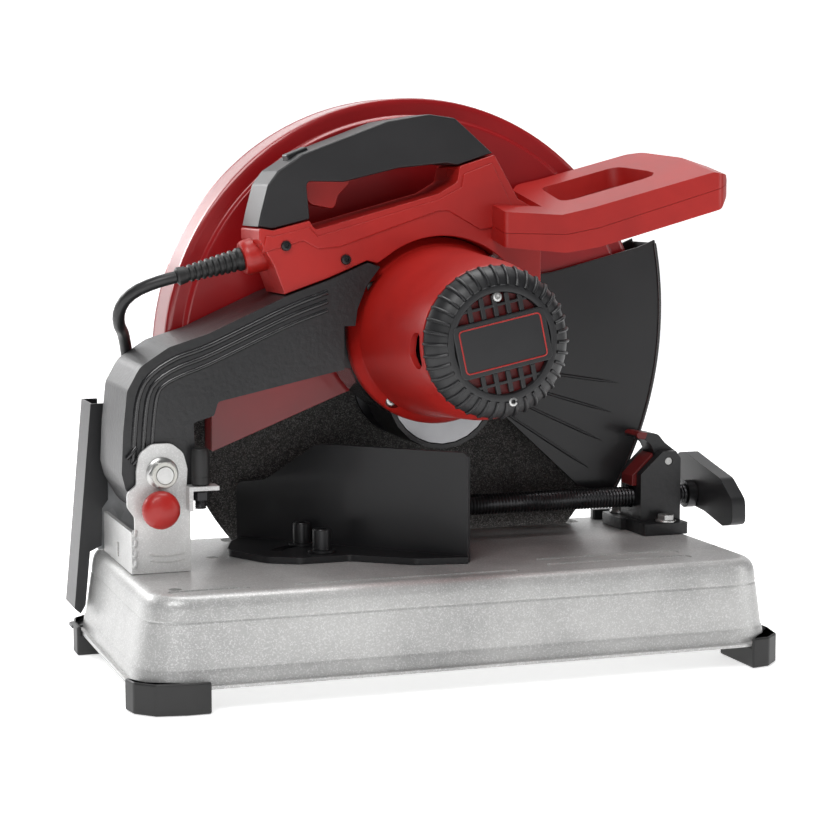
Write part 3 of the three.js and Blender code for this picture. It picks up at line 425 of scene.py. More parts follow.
moulded_rubber = worn_finish("moulded_rubber", (0.012, 0.012, 0.012), (0.007, 0.007, 0.007), 0.48, grain=(1300, 0.3),
                             bump=0.3, scuffs=0.3)
relief_profile = [(6, -14), (6, 0.3), (8.2, 0.5), (8.2, 3)]
for rib in range(9):
    foot = 5 + rib * 4.3
    r = 7.9 - 2.3 * (foot - 3) / 41
    relief_profile += [(r - 1.0, foot), (r - 1.0, foot + 1.2), (r, foot + 1.7), (r - 0.1, foot + 3.4)]
relief_profile += [(6.2, 44.5), (6.3, 47), (5, 48)]
strain_relief = keep("strain_relief_boot", turned_to(lathe("boot", relief_profile, (0, 0, 0)), relief_axis,
                                                     relief_root),
                     moulded_rubber, "saw_head", ["strain_relief"])
plug_x, plug_y = 42, 188
plug_meshes = [
    soften(slab("body", [[plug_y - 17, 0.6, 5], [plug_y + 17, 0.6, 5], [plug_y + 17, 30, 8], [plug_y - 17, 30, 8]],
                plug_x, plug_x + 34, "x"), 2.4, 4),
    soften(slab("neck", [[plug_y - 8, 7, 4], [plug_y + 8, 7, 4], [plug_y + 8, 23, 4], [plug_y - 8, 23, 4]],
                plug_x - 18, plug_x + 1, "x"), 1.5, 3),
]
for ring in range(4):
    start = plug_x - 16 + ring * 4
    plug_meshes.append(soften(slab("ring", [[plug_y - 9, 6, 4], [plug_y + 9, 6, 4], [plug_y + 9, 24, 4],
                                            [plug_y - 9, 24, 4]], start, start + 2, "x"), 0.6))
for side in (-1, 1):
    for groove in range(5):
        x = plug_x + 7 + groove * 4.5
        plug_meshes.append(soften(slab("rib", [[x, 7, 1], [x + 1.8, 7, 1], [x + 1.8, 23, 1], [x, 23, 1]],
                                       plug_y + side * 17 - 0.6, plug_y + side * 17 + 0.6), 0.4))
plug = keep("plug_body", together("plug_body", plug_meshes), moulded_rubber, "base", ["plug"])
plug_brass = worn_finish("plug_brass", (0.62, 0.47, 0.22), (0.50, 0.36, 0.15), 0.28, metal=1.0, grain=(900, 0.1))
for side, y in (("near", plug_y - 9.5), ("far", plug_y + 9.5)):
    keep(f"plug_pin_{side}", lathe("pin", [(2.4, 33), (2.4, 51), (1.8, 52.6), (0.9, 53)], (plug_x, y, 15), "x", 24),
         plug_brass, "base")


# Tray: one pressed steel sheet, open below, painted silver. It has a shoulder under its top, a stamped
# line round the wall, a thin out-turned flange, a slot for the disc and stamped stiffening on top.
def flakes(finish, scale, weight=0.5, light=(0.9, 0.9, 0.9)):
    """Adds fine bright flakes to a painted finish."""
    tree = finish.node_tree
    shader = tree.nodes["Principled BSDF"]
    tone = shader.inputs["Base Color"].links[0].from_socket
    spot = tree.nodes.new("ShaderNodeTexCoord")
    cells = group_node(tree, "ShaderNodeTexVoronoi", Scale=float(scale))
    mask = group_node(tree, "ShaderNodeMapRange")
    mask.inputs["From Min"].default_value, mask.inputs["From Max"].default_value = 0.6, 1.0
    mask.inputs["To Max"].default_value = weight
    blended = tree.nodes.new("ShaderNodeMix")
    blended.data_type = "RGBA"
    blended.inputs["B"].default_value = (*light, 1)
    tree.links.new(spot.outputs["Object"], cells.inputs["Vector"])
    split = tree.nodes.new("ShaderNodeSeparateColor")
    tree.links.new(cells.outputs["Color"], split.inputs["Color"])
    tree.links.new(split.outputs[0], mask.inputs["Value"])
    tree.links.new(mask.outputs["Result"], blended.inputs["Factor"])
    tree.links.new(tone, blended.inputs["A"])
    tree.links.new(blended.outputs["Result"], shader.inputs["Base Color"])
    return finish


silver_paint = flakes(worn_finish("silver_paint", (0.50, 0.50, 0.49), (0.37, 0.37, 0.365), 0.42, metal=0.35,
                                  grain=(700, 0.5), bump=0.25, scuffs=0.5, coat=0.15, patch=14), 1400, 0.35)


def level(z, grow_x, grow_y):
    """One level of the tray: a rounded rectangle, grown from 221 by 111 mm half sizes."""
    hx, hy, r = 221 + grow_x, 111 + grow_y, 28 + grow_x / 2 + grow_y / 2
    return [(p.x, p.y, z) for p in rounded([[-hx, -hy, r], [hx, -hy, r], [hx, hy, r], [-hx, hy, r]], 10)]


def stacked(name, levels):
    rings = [level(*row) for row in levels]
    n = len(rings[0])
    points = [p for ring in rings for p in ring]
    faces = [[i * n + k, i * n + (k + 1) % n, (i + 1) * n + (k + 1) % n, (i + 1) * n + k]
             for i in range(len(rings) - 1) for k in range(n)]
    return mesh_from(name, points, faces + [list(range(n)), [(len(rings) - 1) * n + k for k in range(n)]])


tray = shaped(
    stacked("tray", [(15, 10.5, 9), (17, 10.5, 9), (17.3, 10.2, 8.6), (17.5, 7.6, 5.2), (21, 7.3, 4.5),
                     (24.5, 6.9, 3.9),
                     (26.2, 6.4, 3.3), (27.5, 5.7, 2.8), (40, 3.6, 2.2), (56.4, 1.1, 1.2), (57.2, 0.5, 0.6),
                     (58.2, 0.4, 0.5),
                     (59, 0.7, 1), (66, -0.3, 0.4), (69.5, -1.3, -0.6), (72, -2.9, -2.2), (73.8, -5, -4.6),
                     (74.8, -7.6, -7.4), (75, -10, -10)]),
    stacked("tray_room", [(14, 5, 2.4), (24, 4.3, 1.5), (27, 3.5, 0.5), (40, 1.1, -0.3), (60, -1.9, -1.5),
                          (68, -4, -3), (72.5, -10, -10)]),
    slab("disc_slot", [[-124, 81, 8], [162, 81, 8], [162, 100, 8], [-124, 100, 8]], 66, 80, "z"),
    *[lathe("hole", [(4.4, 60), (4.4, 80)], (x, y, 0), "z", 24) for x, y in ((-198, -84.5), (-147, 23), (213, -49))],
    *[slab("stamping", [[x0, y0, 6], [x1, y0, 6], [x1, y1, 6], [x0, y1, 6]], 74.2, 80, "z")
      for x0, y0, x1, y1 in ((66, -88, 176, -76), (66, -68, 176, -56), (-205, -98, -150, -90), (-120, -98, 40, -90),
                             (195, 28, 208, 52))],
)
keep("tray", soften(tray, 0.5, 2, 34), silver_paint, "base", ["base_tray"])
sheet_block = soften(slab("rear_block", [[176, 89, 2], [195, 89, 2], [195, 96, 2], [176, 96, 2]], 75.0, 83, "z"), 0.8)
satin_black = worn_finish("satin_black", (0.010, 0.010, 0.011), (0.005, 0.005, 0.006), 0.40, metal=0.0,
                          grain=(420, 0.6), bump=0.22, scuffs=0.35, coat=0.1)
keep("tray_stop_block", sheet_block, satin_black, "base")
keep("tray_hook", soften(slab("hook", [[-223, 88, 2], [-236, 90, 4], [-236, 106, 4], [-223, 108, 2]], 16.2, 18.6, "z"),
                         0.5), satin_black, "base")
keep("tray_clip", soften(slab("clip", [[222, -60, 2], [228, -60, 2], [228, -48, 2], [222, -48, 2]], 17.4, 23, "z"),
                         0.7),
     satin_black, "base")


# Feet: four moulded rubber caps that wrap the flange under the tray's corners.
def from_frame(node, name, finish, body, edge=0.5, steps=3, angle=30, extra=(), crease=38):
    """A piece whose CAD shape is right: the same mesh with its edges rounded as it is really made."""
    mesh = soften(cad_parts[node].data.copy(), edge, steps, angle, crease=crease)
    mesh.name = name
    if extra:
        mesh = together(name, [mesh, *extra])
    return keep(name, mesh, finish, body, [node])


for corner in ("rear_near", "rear_far", "front_near", "front_far"):
    from_frame(f"foot_{corner}", f"rubber_foot_{corner}", moulded_rubber, "base", 1.6, 3)

# Spark deflector: a folded steel channel, painted black, bolted to the tray's rear wall.
from_frame("spark_deflector", "deflector_channel", satin_black, "base", 0.4)

# Pivot bracket: bent steel cheeks, the near one with its rear plate and stop tab painted silver, and the
# far one galvanised. The pivot bolt runs through both, with a flange nut, and the spring is wound on it.
pressed_silver = flakes(worn_finish("pressed_silver", (0.60, 0.60, 0.59), (0.46, 0.46, 0.455), 0.36, metal=0.35,
                                    grain=(600, 0.5), bump=0.3, scuffs=0.4, coat=0.25, patch=22), 1500, 0.3)
galvanised = flakes(worn_finish("galvanised", (0.50, 0.51, 0.52), (0.34, 0.35, 0.36), 0.38, metal=0.85,
                                grain=(300, 0.3), bump=0.15, scuffs=0.5, patch=40), 130, 0.45, (0.62, 0.63, 0.64))
zinc = worn_finish("zinc_plate", (0.58, 0.58, 0.57), (0.40, 0.40, 0.39), 0.3, metal=0.9, grain=(1100, 0.3), bump=0.2,
                   scuffs=0.5, patch=60)
weld_spots = [tube("weld", [(-212.5, -23.5 + 0.2 * i, z), (-212.3, -25.6, z + 1.5), (-211.6, -24.4, z + 4)], 1.9, 12)
              for i, z in enumerate((80, 87, 94, 101))]
emboss = [tube("line", smooth_path(row, 3), 0.55, 10)
          for row in ([(-202, -25.1, 84), (-190, -25.1, 82.5), (-178, -25.1, 84)],
                      [(-202, -25.1, 88), (-190, -25.1, 86.5), (-178, -25.1, 88)])]
from_frame("pivot_bracket", "near_cheek", pressed_silver, "base", 0.5, extra=weld_spots + emboss)
from_frame("far_cheek", "galvanised_cheek", galvanised, "base", 0.5)
PIVOT_X, PIVOT_Z = -193, 143.5
pivot = (PIVOT_X, 0, PIVOT_Z)


def hexagon(r, x, z):
    """The six corners of a hexagon of that corner radius."""
    return [[x + r * math.cos(k * math.pi / 3), z + r * math.sin(k * math.pi / 3)] for k in range(6)]


cheek_screw = [lathe("seat", [(5, 85), (5, 86.2), (4.6, 86.6)], (-208, 0, 118.9), "y", 32),
               soften(slab("head", hexagon(4, -208, 118.9), 86.4, 89), 0.4)]
keep("cheek_screw", together("cheek_screw", cheek_screw), zinc, "base")


def threaded(name, radius, low, high, middle, axis, pitch, depth=0.5, sides=28):
    """A rod with a true helical thread."""
    total = math.ceil((high - low) / pitch)
    points, faces = [], []
    rows = total * 4 + 1
    lay = {"y": lambda c, s, h: (c, h, s), "z": lambda c, s, h: (c, s, h), "x": lambda c, s, h: (h, c, s)}[axis]
    for row in range(rows):
        h = low + (high - low) * row / (rows - 1)
        for k in range(sides):
            a = 2 * math.pi * k / sides
            wave = ((h - low) / pitch - k / sides) % 1.0
            r = radius - depth * abs(2 * wave - 1)
            points.append(Vector(middle) + Vector(lay(r * math.cos(a), r * math.sin(a), h)))
    faces += [[i * sides + k, i * sides + (k + 1) % sides, (i + 1) * sides + (k + 1) % sides, (i + 1) * sides + k]
              for i in range(rows - 1) for k in range(sides)]
    faces += [list(range(sides)), [(rows - 1) * sides + k for k in range(sides)]]
    return mesh_from(name, points, faces, 60)


pivot_bolt = together("pivot_bolt", [
    lathe("shank", [(6, -24), (6, 85.4)], pivot, "y", 40),
    threaded("bolt_end", 6, -37, -24, pivot, "y", 1.75, 0.6),
    soften(slab("bolt_head", hexagon(10, PIVOT_X, PIVOT_Z), 85.4, 92), 0.6)])
keep("long_pivot_bolt", pivot_bolt, zinc, "base", ["pivot_bolt"])
flange_nut = together("flange_nut", [
    shaped(soften(slab("nut", hexagon(9.6, PIVOT_X, PIVOT_Z), -34, -27.4), 0.7),
           lathe("nut_hole", [(6.1, -40), (6.1, -20)], pivot, "y", 40)),
    lathe("nut_skirt", [(6.3, -27.8), (9, -27.8), (11, -26.3), (11, -25.3), (6.3, -25.3), (6.3, -27.8)], pivot, "y",
          48)])
keep("flange_nut", flange_nut, zinc, "base", ["pivot_nut"])
nylon_ring = worn_finish("nylon_ring", (0.60, 0.60, 0.56), (0.5, 0.5, 0.46), 0.4, grain=(900, 0.1))
keep("nut_lock_ring", lathe("ring", [(6.2, -36), (8, -36), (8.6, -35.2), (8.6, -34), (6.2, -34), (6.2, -36)], pivot,
                            "y", 40), nylon_ring, "base")
spring_wire = [(PIVOT_X + 10 * math.cos(a), 60 + a * 5 / (2 * math.pi), PIVOT_Z + 10 * math.sin(a))
               for a in (2 * math.pi * 4 * k / 96 for k in range(97))]
keep("lift_spring", tube("lift_spring", spring_wire, 1.6, 12), zinc, "base", ["return_spring"])

# Lock pin: a steel pin through the near cheek with a domed red plastic knob, wrinkled for grip.
pin = (-196.6, 0, 120.4)
red_plastic = worn_finish("red_plastic", (0.40, 0.012, 0.008), (0.31, 0.008, 0.006), 0.4, grain=(1500, 0.4), bump=0.18,
                          scuffs=0.2, coat=0.08, patch=12)
keep("steel_lock_pin", lathe("pin", [(4, -33), (4, -21.4), (3.4, -20.7)], pin, "y", 32), zinc, "lock_pin",
     ["lock_pin"])
knob = lathe("knob", [(0.05, -46), (3, -45.9), (6, -45.4), (9, -44.3), (10.8, -43.2), (12.3, -41.2), (12.9, -39),
                      (13, -37), (12.6, -35.2), (11, -33.3), (0.05, -33.3)], pin, "y", 72)
crinkle = random.Random(11)
for vertex in knob.vertices:
    push = 1 + 0.012 * crinkle.uniform(-1, 1)
    middle = at(*pin)
    vertex.co.x = middle.x + (vertex.co.x - middle.x) * push
    vertex.co.z = middle.z + (vertex.co.z - middle.z) * push
keep("lock_pin_dome", knob, red_plastic, "lock_pin", ["lock_pin_knob"])

# Depth stop: a screw through the bracket's tab with a rubber bumper that the arm comes down on.
black_oxide = worn_finish("black_oxide", (0.030, 0.030, 0.032), (0.018, 0.018, 0.019), 0.32, metal=0.5,
                          grain=(1100, 0.3), bump=0.15, scuffs=0.5)
STOP_X, STOP_Y = -167, -27.5
keep("stop_thread", threaded("stop_thread", 4, 118.7, 148, (STOP_X, STOP_Y, 0), "z", 1.25, 0.5), black_oxide,
     "depth_stop",
     ["stop_screw"])
keep("bumper_cap", lathe("bumper", [(4.3, 134.8), (5.6, 134.9), (6.2, 135.6), (6.2, 140), (5.9, 140.6), (6.2, 141.2),
                                    (6.2, 154), (6.0, 157.8), (5.4, 159.4), (4, 160.2), (0.05, 160.3), (0.05, 148.3),
                                    (4.3, 148.3), (4.3, 134.8)], (STOP_X, STOP_Y, 0), "z", 48),
     moulded_rubber, "depth_stop", ["stop_bumper"])
keep("stop_lock_nut", soften(slab("nut", hexagon(6.5, STOP_X, STOP_Y), 124.5, 130.6, "z"), 0.5), black_oxide,
     "depth_stop")

# Mitre fence: an upright plate welded to a swivel plate, painted black, on two black socket bolts.
from_frame("fence", "mitre_fence", satin_black, "fence", 0.5)
fence_run = Vector((132.2, -132.2, 0)).normalized()
weld_line = [Vector((-108, 73.4, 80.4)) + fence_run * s + Vector((0.4 * math.sin(s * 1.9), 0.4 * math.sin(s * 1.9),
             0.5 * math.sin(s * 2.3))) for s in (i * 1.6 for i in range(70))]
keep("fence_weld", tube("weld", weld_line, 1.7, 10), satin_black, "fence")
def socket_bolt(name, x, y, washer, node):
    """A black socket-head bolt with its washer, standing on the swivel plate."""
    foot = 79.8
    head = shaped(lathe("head", [(6.5, 2), (6.5, 15.6), (5.8, 16.5)], (x, y, foot), "z", 48),
                  slab("socket", hexagon(3.6, x, y), foot + 10.5, foot + 20, "z"))
    mesh = together(name, [
        lathe("shank", [(4, -11), (4, 2)], (x, y, foot), "z", 32), head,
        lathe("washer", [(4, 0.3), (washer, 0.3), (washer, 1.8), (4, 1.8), (4, 0.3)], (x, y, foot), "z", 48)])
    keep(name, mesh, black_oxide, "base", [node])


socket_bolt("pivot_socket_bolt", -75, -6, 10, "fence_pivot_bolt")
socket_bolt("clamp_socket_bolt", -80.3, 26.2, 9.6, "fence_clamp_bolt")

# Vise: a cast block on two bolts carries the screw and the half nut on its lever. The screw pushes a
# swivelling jaw, and a moulded crank turns it.
cast_black = worn_finish("cast_black", (0.014, 0.014, 0.015), (0.007, 0.007, 0.008), 0.42, metal=0.1,
                         grain=(260, 1.0), bump=0.45, scuffs=0.3, coat=0.12, patch=16, distance=0.0006)
black_plastic = worn_finish("black_plastic", (0.014, 0.014, 0.015), (0.008, 0.008, 0.009), 0.42, grain=(1600, 0.4),
                            bump=0.2, scuffs=0.25, patch=10)
lever_red = worn_finish("lever_red", (0.16, 0.008, 0.008), (0.10, 0.005, 0.005), 0.45, grain=(1200, 0.3), bump=0.2)
from_frame("vise_block", "vise_casting", cast_black, "base", 0.7)
for side in ("near", "far"):
    from_frame(f"vise_bolt_{side}", f"hex_bolt_{side}", zinc, "base", 0.4)
from_frame("release_pin", "hinge_pin", zinc, "base", 0.3)
from_frame("release_lever", "lever", black_plastic, "release_lever", 1.2)
keep("lever_tip", soften(slab("tip", [[183.6, 149.1], [184.6, 146.2], [191, 145.2, 2], [193, 150.4, 1],
                                      [186, 151.2, 2]],
                              26.6, 49.4), 0.8), lever_red, "release_lever")
from_frame("half_nut", "screw_half_nut", lever_red, "release_lever", 0.5)
from_frame("jaw_carrier", "carrier", cast_black, "vise_carriage", 0.7)
from_frame("vise_jaw", "swivel_jaw", satin_black, "vise_jaw", 0.6)
from_frame("jaw_pin", "jaw_bolt", zinc, "vise_carriage", 0.4)
dark_steel = worn_finish("dark_steel", (0.05, 0.05, 0.052), (0.025, 0.025, 0.027), 0.34, metal=0.9, grain=(800, 0.3),
                         bump=0.2, scuffs=0.5, patch=30)
VISE = (0, 38, 100.5)
screw = together("screw", [
    lathe("nose", [(5, 33), (5, 46.5)], VISE, "x", 40),
    threaded("screw_thread", 8, 46.4, 229, VISE, "x", 2.6, 0.8, 32),
    lathe("collar", [(8, 229), (10.5, 229.4), (10.5, 236.4), (9.8, 236.7), (6, 236.7), (6, 253)], VISE, "x", 48)])
keep("vise_lead_screw", screw, dark_steel, "vise_screw", ["vise_screw"])
from_frame("crank_handle", "crank", black_plastic, "vise_screw", 2.2, 4)
keep("crank_screw", lathe("crank_screw", [(6.2, 247.6), (6.2, 253.4), (5.2, 254), (3, 253.6), (3, 252.6),
                                          (0.05, 252.6)],
                          VISE, "x", 32), zinc, "vise_screw")

# Arm: one casting from the pivot to the gear case, painted black, with rounded ridges nested along its
# rear and top edges, two small lugs by the pivot and a machined rim round the gear case.
from_frame("arm", "arm_casting", cast_black, "saw_head", 1.6, 3)
glossy_black = worn_finish("glossy_black", (0.014, 0.014, 0.015), (0.008, 0.008, 0.009), 0.22, metal=0.1,
                           grain=(300, 0.8), bump=0.3, scuffs=0.2, coat=0.4, distance=0.0004)
RIDGE_Y = -19.3
for number, (inset, radius) in enumerate(((4.5, 2.2), (11, 2.0), (17, 1.7))):
    edge_line = [(x, RIDGE_Y, z) for x, z in (
        (-216 + inset, 150), (-214.5 + inset, 175), (-211.5 + inset, 196), (-203 + inset * 0.8, 211.5 - inset * 0.5),
        (-184 + inset * 0.4, 224.5 - inset * 0.9), (-156.5, 234 - inset), (-104, 257.5 - inset), (-74, 268.5 - inset))]
    keep(f"arm_ridge_{number}", tube("ridge", smooth_path(edge_line, 5), radius, 16), glossy_black, "saw_head")
lugs = [tube("lug", [(-216 + d, -20.6, 154 - d), (-213 + d, -21.8, 157.5 - d), (-209.5 + d, -20.6, 161.5 - d)], 1.5, 12)
        for d in (0, 4.2)]
keep("arm_lug", together("arm_lug", lugs), glossy_black, "saw_head")
MOTOR_X, MOTOR_Z = 12, 234.3
motor = (MOTOR_X, 0, MOTOR_Z)
keep("case_rim", lathe("case_rim", [(64, 3.6), (66.4, 3.6), (67.2, 5), (67.2, 14), (66.3, 16), (66.3, 54),
                                    (65, 56.2), (60, 56.2), (60, 3.6), (64, 3.6)], motor, "y", 120), glossy_black,
                                    "saw_head")

# Gear case contents: hardened steel gears on their shafts, wound motor and fan, all hidden when shut.
gear_steel = worn_finish("gear_steel", (0.42, 0.42, 0.43), (0.30, 0.30, 0.31), 0.3, metal=1.0, grain=(900, 0.2),
                         bump=0.15)
winding_copper = worn_finish("winding_copper", (0.60, 0.27, 0.12), (0.44, 0.18, 0.08), 0.35, metal=0.9,
                             grain=(260, 0.8),
                             bump=0.4)
for node, finish, body, slot in [
    ("gear_plate", gear_steel, "saw_head", "galvanised"), ("stator_core", gear_steel, "saw_head", "galvanised"),
    ("spindle_bearing", gear_steel, "saw_head", "galvanised"), ("motor_shaft", gear_steel, "rotor", "galvanised"),
    ("armature", winding_copper, "rotor", "copper"), ("cooling_fan", black_plastic, "rotor", "black_plastic"),
    ("drive_gear", gear_steel, "disc_set", "galvanised"),
]:
    from_frame(node, f"{node}_part", finish, body, 0.25, 2)

# Fixed guard: a deep-drawn steel dish over the disc, enamelled red, with a stepped band and a rolled rim.
red_enamel = worn_finish("red_enamel", (0.34, 0.006, 0.008), (0.25, 0.004, 0.006), 0.3, metal=0.05, grain=(240, 0.9),
                         bump=0.12, scuffs=0.25, coat=0.55, patch=8)
guard = (18, 0, 212)
dish = lathe("dish", [(0.05, 62), (60, 62), (173, 62), (174.6, 62.4), (176, 64.6), (177.2, 65.4), (184, 65.5),
                      (186.6, 66),
                      (188.4, 67), (189, 69), (189, 101.2), (189.5, 102.4), (189.3, 103.6), (188.4, 104),
                      (187.3, 103.6),
                      (187, 102), (187, 68.4), (186, 67.6), (176, 67), (174.4, 66), (172, 64), (0.05, 64)], guard,
                      "y", 144, 30)
guard_mesh = shaped(dish,
                    slab("opening", [[-300, 195], [-137, 195], [-137, 145.3], [-28.4, 188.4], [45, 180], [190, 140],
                                     [240, 120], [240, -50], [-300, -50]], 50, 115),
                    lathe("spindle_hole", [(12.4, 50), (12.4, 70)], (19, 0, 190), "y", 48))
guard_mesh = together("guard_dish", [
    soften(guard_mesh, 0.4, 2, 40),
    soften(box_mesh((-137.2, 62.2, 146), (-135, 84, 196)), 0.5),
    soften(box_mesh((-168, 67.5, 195), (-135, 84, 197)), 0.5)])
keep("guard_dish", guard_mesh, red_enamel, "saw_head", ["upper_guard"])
side_plate = shaped(lathe("side", [(0.05, 102), (185.5, 102), (186.5, 102.4), (186.5, 103.6), (185.8, 104),
                                   (0.05, 104)],
                          guard, "y", 144),
                    slab("side_opening", [[-300, 195], [-137, 195], [-137, 188], [-60, 205], [-30, 232, 20],
                                          [66, 232, 20], [92, 205], [240, 160], [240, -50], [-300, -50]], 95, 110))
keep("guard_side", soften(side_plate, 0.5, 2, 40), red_enamel, "saw_head", ["guard_side_plate"])

# Motor: a moulded red housing screwed to the gear case through its flange, and a black vented cap.
HOUSING_SCREWS = ((-36.7, 265.5), (55.1, 284), (-22.7, 185.8))
housing = shaped(
    lathe("housing", [(66, 3), (66.6, 2), (66.6, -4), (65.6, -5.4), (63.4, -9), (61.4, -12), (60.5, -15), (57.4, -55),
                      (55, -92), (52, -110), (51, -116.4), (50.4, -117.2), (48.6, -117.4), (47, -117.4), (50, -97),
                      (52, -60),
                      (56, -12), (58, -6), (58, 3), (66, 3)], motor, "y", 112),
    *[lathe("screw_well", [(5.6, -12), (5.6, -3.4)], (x, 0, z), "y", 32)
      for x, z in HOUSING_SCREWS],
    slab("vent", [[-114, 219, 6], [-104, 215, 6], [-99.5, 226, 6], [-104, 241, 6], [-114, 241, 6]], -60, -30, "x"))
keep("red_housing", soften(housing, 0.5, 2, 40), red_plastic, "saw_head", ["motor_housing"])


def machine_screw(name, x, y, z, radius, finish, body, direction=(0, -1, 0)):
    """A pan-head screw with a socket, its head facing a direction."""
    mesh = lathe("screw", [(radius, 0), (radius, 1.6), (radius * 0.85, 2.5), (radius * 0.5, 2.7), (radius * 0.45, 0.9),
                           (0.05, 0.9)], (0, 0, 0), "y", 32)
    keep(name, turned_to(mesh, direction, (x, y, z)), finish, body)


for number, (x, z) in enumerate(HOUSING_SCREWS):
    machine_screw(f"housing_screw_{number}", x, -3.2, z, 4.4, zinc, "saw_head")
cap_profile = [(49.6, -117.7), (50.2, -118.2), (50.6, -119.4), (50.2, -121.6), (48.6, -125), (46, -128.4),
               (42.6, -131.2),
               (39, -132.4), (38.4, -133.2), (36.4, -133.6), (34.2, -133.2), (33.6, -132.2), (33.5, -129.5),
               (37, -129.3),
               (42, -127), (45.5, -122), (46.5, -117.7), (49.6, -117.7)]
FINS = 38
fin_curve = [(49.9, -118.2), (50.7, -120.4), (50.2, -123), (48.4, -126.4), (45.6, -129.8), (42.4, -132), (39, -132.9)]
fins = []
for k in range(FINS):
    a = 2 * math.pi * k / FINS
    c, s = math.cos(a), math.sin(a)
    line = [(MOTOR_X + r * c, y, MOTOR_Z + r * s) for r, y in fin_curve]
    fins.append(tube("fin", line, 1.15, 8))
cap = together("cap", [lathe("cap_shell", cap_profile, motor, "y", 128), *fins])
keep("vented_cap", cap, black_plastic, "saw_head", ["motor_end_cap"])
tilt = math.radians(12)


def on_plate(shape):
    """Turns a plate outline about the motor's middle with the plate's tilt."""
    return [[MOTOR_X + u * math.cos(tilt) - v * math.sin(tilt), MOTOR_Z + u * math.sin(tilt) + v * math.cos(tilt), *r]
            for u, v, *r in shape]


grille = []
for side in (-1, 1):
    for k in range(-2, 3):
        grille.append(soften(slab("bar", on_plate([[k * 9 - 1.6, side * 18], [k * 9 + 1.6, side * 18],
                                                   [k * 9 + 1.6, side * 32.6], [k * 9 - 1.6, side * 32.6]][::side]),
                                  -132.4, -129.4), 0.5))
    grille.append(soften(slab("cross", on_plate([[-26, side * 24.6], [26, side * 24.6], [26, side * 26.6],
                                                 [-26, side * 26.6]]),
                              -132.2, -129.6), 0.4))
keep("cap_grille", together("cap_grille", grille), black_plastic, "saw_head")
keep("cap_baffle", lathe("baffle", [(0.05, -127), (36.6, -127), (36.6, -128.2), (0.05, -128.2)], motor, "y", 64),
     lever_red,
     "saw_head")
plate_mesh = soften(slab("plate", on_plate([[-33, -18, 5], [33, -18, 5], [33, 18, 5], [-33, 18, 5]]), -134, -129.8),
                    0.8)
keep("blank_badge", plate_mesh, black_plastic, "saw_head", ["badge_plate"])
frame_line = [Vector((x, -134.1, z)) for x, z in (tuple(p) for p in rounded(on_plate(
    [[-29, -14.4, 3], [29, -14.4, 3], [29, 14.4, 3], [-29, 14.4, 3]]), 5))]
keep("badge_line", tube("badge_line", frame_line + [frame_line[0]], 0.5, 8), red_plastic, "saw_head")
for number, (x, z) in enumerate(((7.8, 265), (19.4, 195.6))):
    machine_screw(f"cap_screw_{number}", x, -131, z, 3.4, zinc, "saw_head")

# Disc set: a resin-bonded abrasive disc between two steel flanges, on the spindle with its bolt.
grit = worn_finish("grit", (0.050, 0.047, 0.044), (0.014, 0.014, 0.014), 0.8, grain=(1300, 1.0), bump=0.9, scuffs=0.2,
                   patch=420, distance=0.0005)
flakes(grit, 1500, 0.6, (0.30, 0.29, 0.28))
DISC = (19, 0, 190)
disc_rows = [(12.8, 88.9), (176.2, 88.9), (177.2, 89.3), (177.5, 90.0), (177.5, 91.0), (177.2, 91.7), (176.2, 92.1),
             (12.8, 92.1),
             (12.8, 88.9)]
keep("cutting_disc", lathe("cutting_disc", disc_rows, DISC, "y", 160, 30), grit, "disc_set",
     ["abrasive_disc"])
for node, name, rows in [
    ("inner_flange", "flange_inner", [(10.3, 84), (33, 84), (35, 84.2), (40.6, 85.6), (41, 86.2), (41, 88.6),
                                      (12.4, 88.6),
                                      (12.4, 91.8), (10.3, 91.8), (10.3, 84)]),
    ("outer_flange", "flange_outer", [(5.3, 92.4), (41, 92.4), (41, 93.6), (40.5, 94.2), (34, 96), (5.3, 96),
                                      (5.3, 92.4)]),
]:
    keep(name, lathe(name, rows, DISC, "y", 96), dark_steel, "disc_set", [node])
from_frame("spindle", "drive_spindle", gear_steel, "disc_set", 0.4)
from_frame("spindle_bolt", "disc_bolt", black_oxide, "disc_set", 0.5)

# Swing guard: a pressed black sector that turns on the gear case's neck, with embossed radial ribs.
ribs = []
for degrees in (-9, -17, -25, -33):
    a = math.radians(degrees)
    line = [(18 + r * math.cos(a), 57.6, 212 + r * math.sin(a)) for r in (60, 95, 125, 150, 166)]
    ribs.append(tube("rib", line, 2.2, 14, radii=[0.3, 1.1, 1.3, 1.2, 0.3]))
from_frame("swing_guard", "swing_guard_sector", satin_black, "swing_guard", 0.7, extra=ribs)
rim_line = [(-56.5 + 272.6 * math.cos(a), 58, 240.5 + 272.6 * math.sin(a)) for a in
            (math.radians(11 - i * 41 / 30) for i in range(31))]
keep("swing_rim_bead", tube("rim_bead", rim_line, 1.6, 12), glossy_black, "swing_guard")

# Carrying handle: two moulded red shells round the seam, a soft black grip, a trigger and a lock-off button.
shell_outline = [
    [-103.7, 262.6], [-72, 273.4], [-44.4, 284.9], [-36.5, 283],
    *[[MOTOR_X + 67.5 * math.cos(math.radians(126 - i * 4.333)),
       MOTOR_Z + 67.5 * math.sin(math.radians(126 - i * 4.333))]
      for i in range(25)],
    [88, 250], [86.4, 262], [86.4, 318, 4], [68.6, 327.5, 2], [50.5, 358.6, 2], [24.4, 350.4, 2], [22.5, 339.5, 5],
    [8.2, 331.2, 6], [-81.4, 306.7, 4], [-85.6, 313, 1], [-111.7, 306.5, 1], [-121.6, 308.2, 2], [-121.6, 300, 3],
    [-111, 282, 4],
]
boss = turned_to(lathe("boss", [(12.5, -28), (12.5, -4), (12, -2), (11, -0.3), (10, 0), (6.4, 0), (6.4, -15),
                                (0.05, -15)],
                       (0, 0, 0), "y", 64), relief_axis, relief_root)
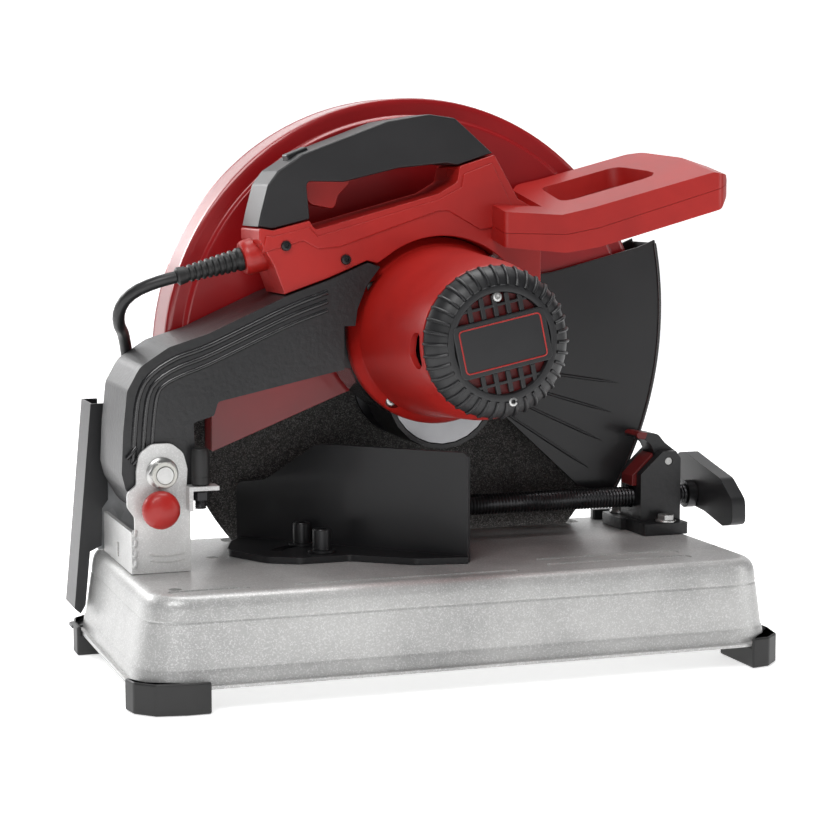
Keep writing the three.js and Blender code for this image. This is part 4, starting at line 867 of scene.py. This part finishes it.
for side, low, high, node in (("near", -17, 7.85, "handle_shell_near"), ("far", 8.15, 33, "handle_shell_far")):
    outer = low if side == "near" else high
    half = slab("shell", shell_outline, low, high)
    half = soften(half, 3.2, 4, 60, lambda p, y=outer: abs(p.y - y) < 0.5)
    half = shaped(half, boss.copy(), operation="UNION")
    beyond = ((-200, 7.85, 200), (200, 90, 500)) if side == "near" else ((-200, -90, 200), (200, 8.15, 500))
    half = shaped(half, box_mesh(*beyond))
    half = shaped(half, turned_to(lathe("bore", [(6.4, -15), (6.4, 2)], (0, 0, 0), "y", 48), relief_axis, relief_root))
    half.shade_smooth()
    half.set_sharp_from_angle(angle=math.radians(38))
    keep(f"handle_half_{side}", half, red_plastic, "saw_head", [node])
panel = [[-119.6, 291.3], [-90.4, 299.2], [-79.7, 293.6], [-63.8, 294.9], [8.2, 319.3], [15.7, 319.3], [39.8, 305.8],
         [60, 309], [66, 318], [48.5, 353], [27, 345], [25.5, 336], [8.6, 327.4], [-80, 302.4], [-86, 308.6],
         [-112, 302.4],
         [-117, 303]]
keep("handle_step", soften(slab("handle_step", panel, -18.2, -16.5), 1.0, 3), red_plastic, "saw_head")
grip_outline = [
    [-121.5, 309.2], [-119.4, 318.6], [-114.3, 337.6, 6], [-107.1, 347.1, 4], [-96.5, 353.9, 4], [-89.3, 358.7, 4],
    [-27.9, 381.6, 12], [2.2, 386.7, 12], [21.9, 384.1, 8], [50.2, 359.8], [23.8, 351.2], [15.6, 352.6, 4],
    [-20, 349, 8], [-60, 339.5], [-87, 340, 4], [-84.6, 315], [-85.4, 313.6], [-111.6, 307.4],
]
grip_mesh = soften(slab("grip", grip_outline, -14, 30), 4.2, 5, 60,
                   lambda p: abs(p.y + 14) < 0.5 or abs(p.y - 30) < 0.5)
button_turn = math.radians(22)
button_well = box_mesh((-8.5, 1, -5.5), (8.5, 15, 20))
button_place = Matrix.Translation(at(-87.5, 0, 356)) @ Matrix.Rotation(-button_turn, 4,
                                                                       "Y") @ Matrix.Translation(-at(0, 0, 0))
button_well.transform(button_place)
grip_mesh = shaped(grip_mesh, box_mesh((-90, 0, 333), (-50, 16, 352)), button_well)
grip_mesh.shade_smooth()
grip_mesh.set_sharp_from_angle(angle=math.radians(38))
keep("soft_grip", grip_mesh, black_plastic, "saw_head", ["grip"])
from_frame("trigger", "trigger_blade", red_plastic, "trigger", 1.4, 4)
from_frame("lock_off_button", "lock_off", black_plastic, "lock_off", 1.2, 4)
for number, (x, z) in enumerate(((-103, 296), (70, 300), (-60, 286))):
    machine_screw(f"handle_screw_{number}", x, -17.4, z, 3.6, black_oxide, "saw_head")

# Front loop handle: two moulded halves seamed at mid height, fixed to the front of the handle shells.
for side in ("lower", "upper"):
    from_frame(f"loop_handle_{side}", f"loop_half_{side}", red_plastic, "saw_head", 2.0, 4, 34)
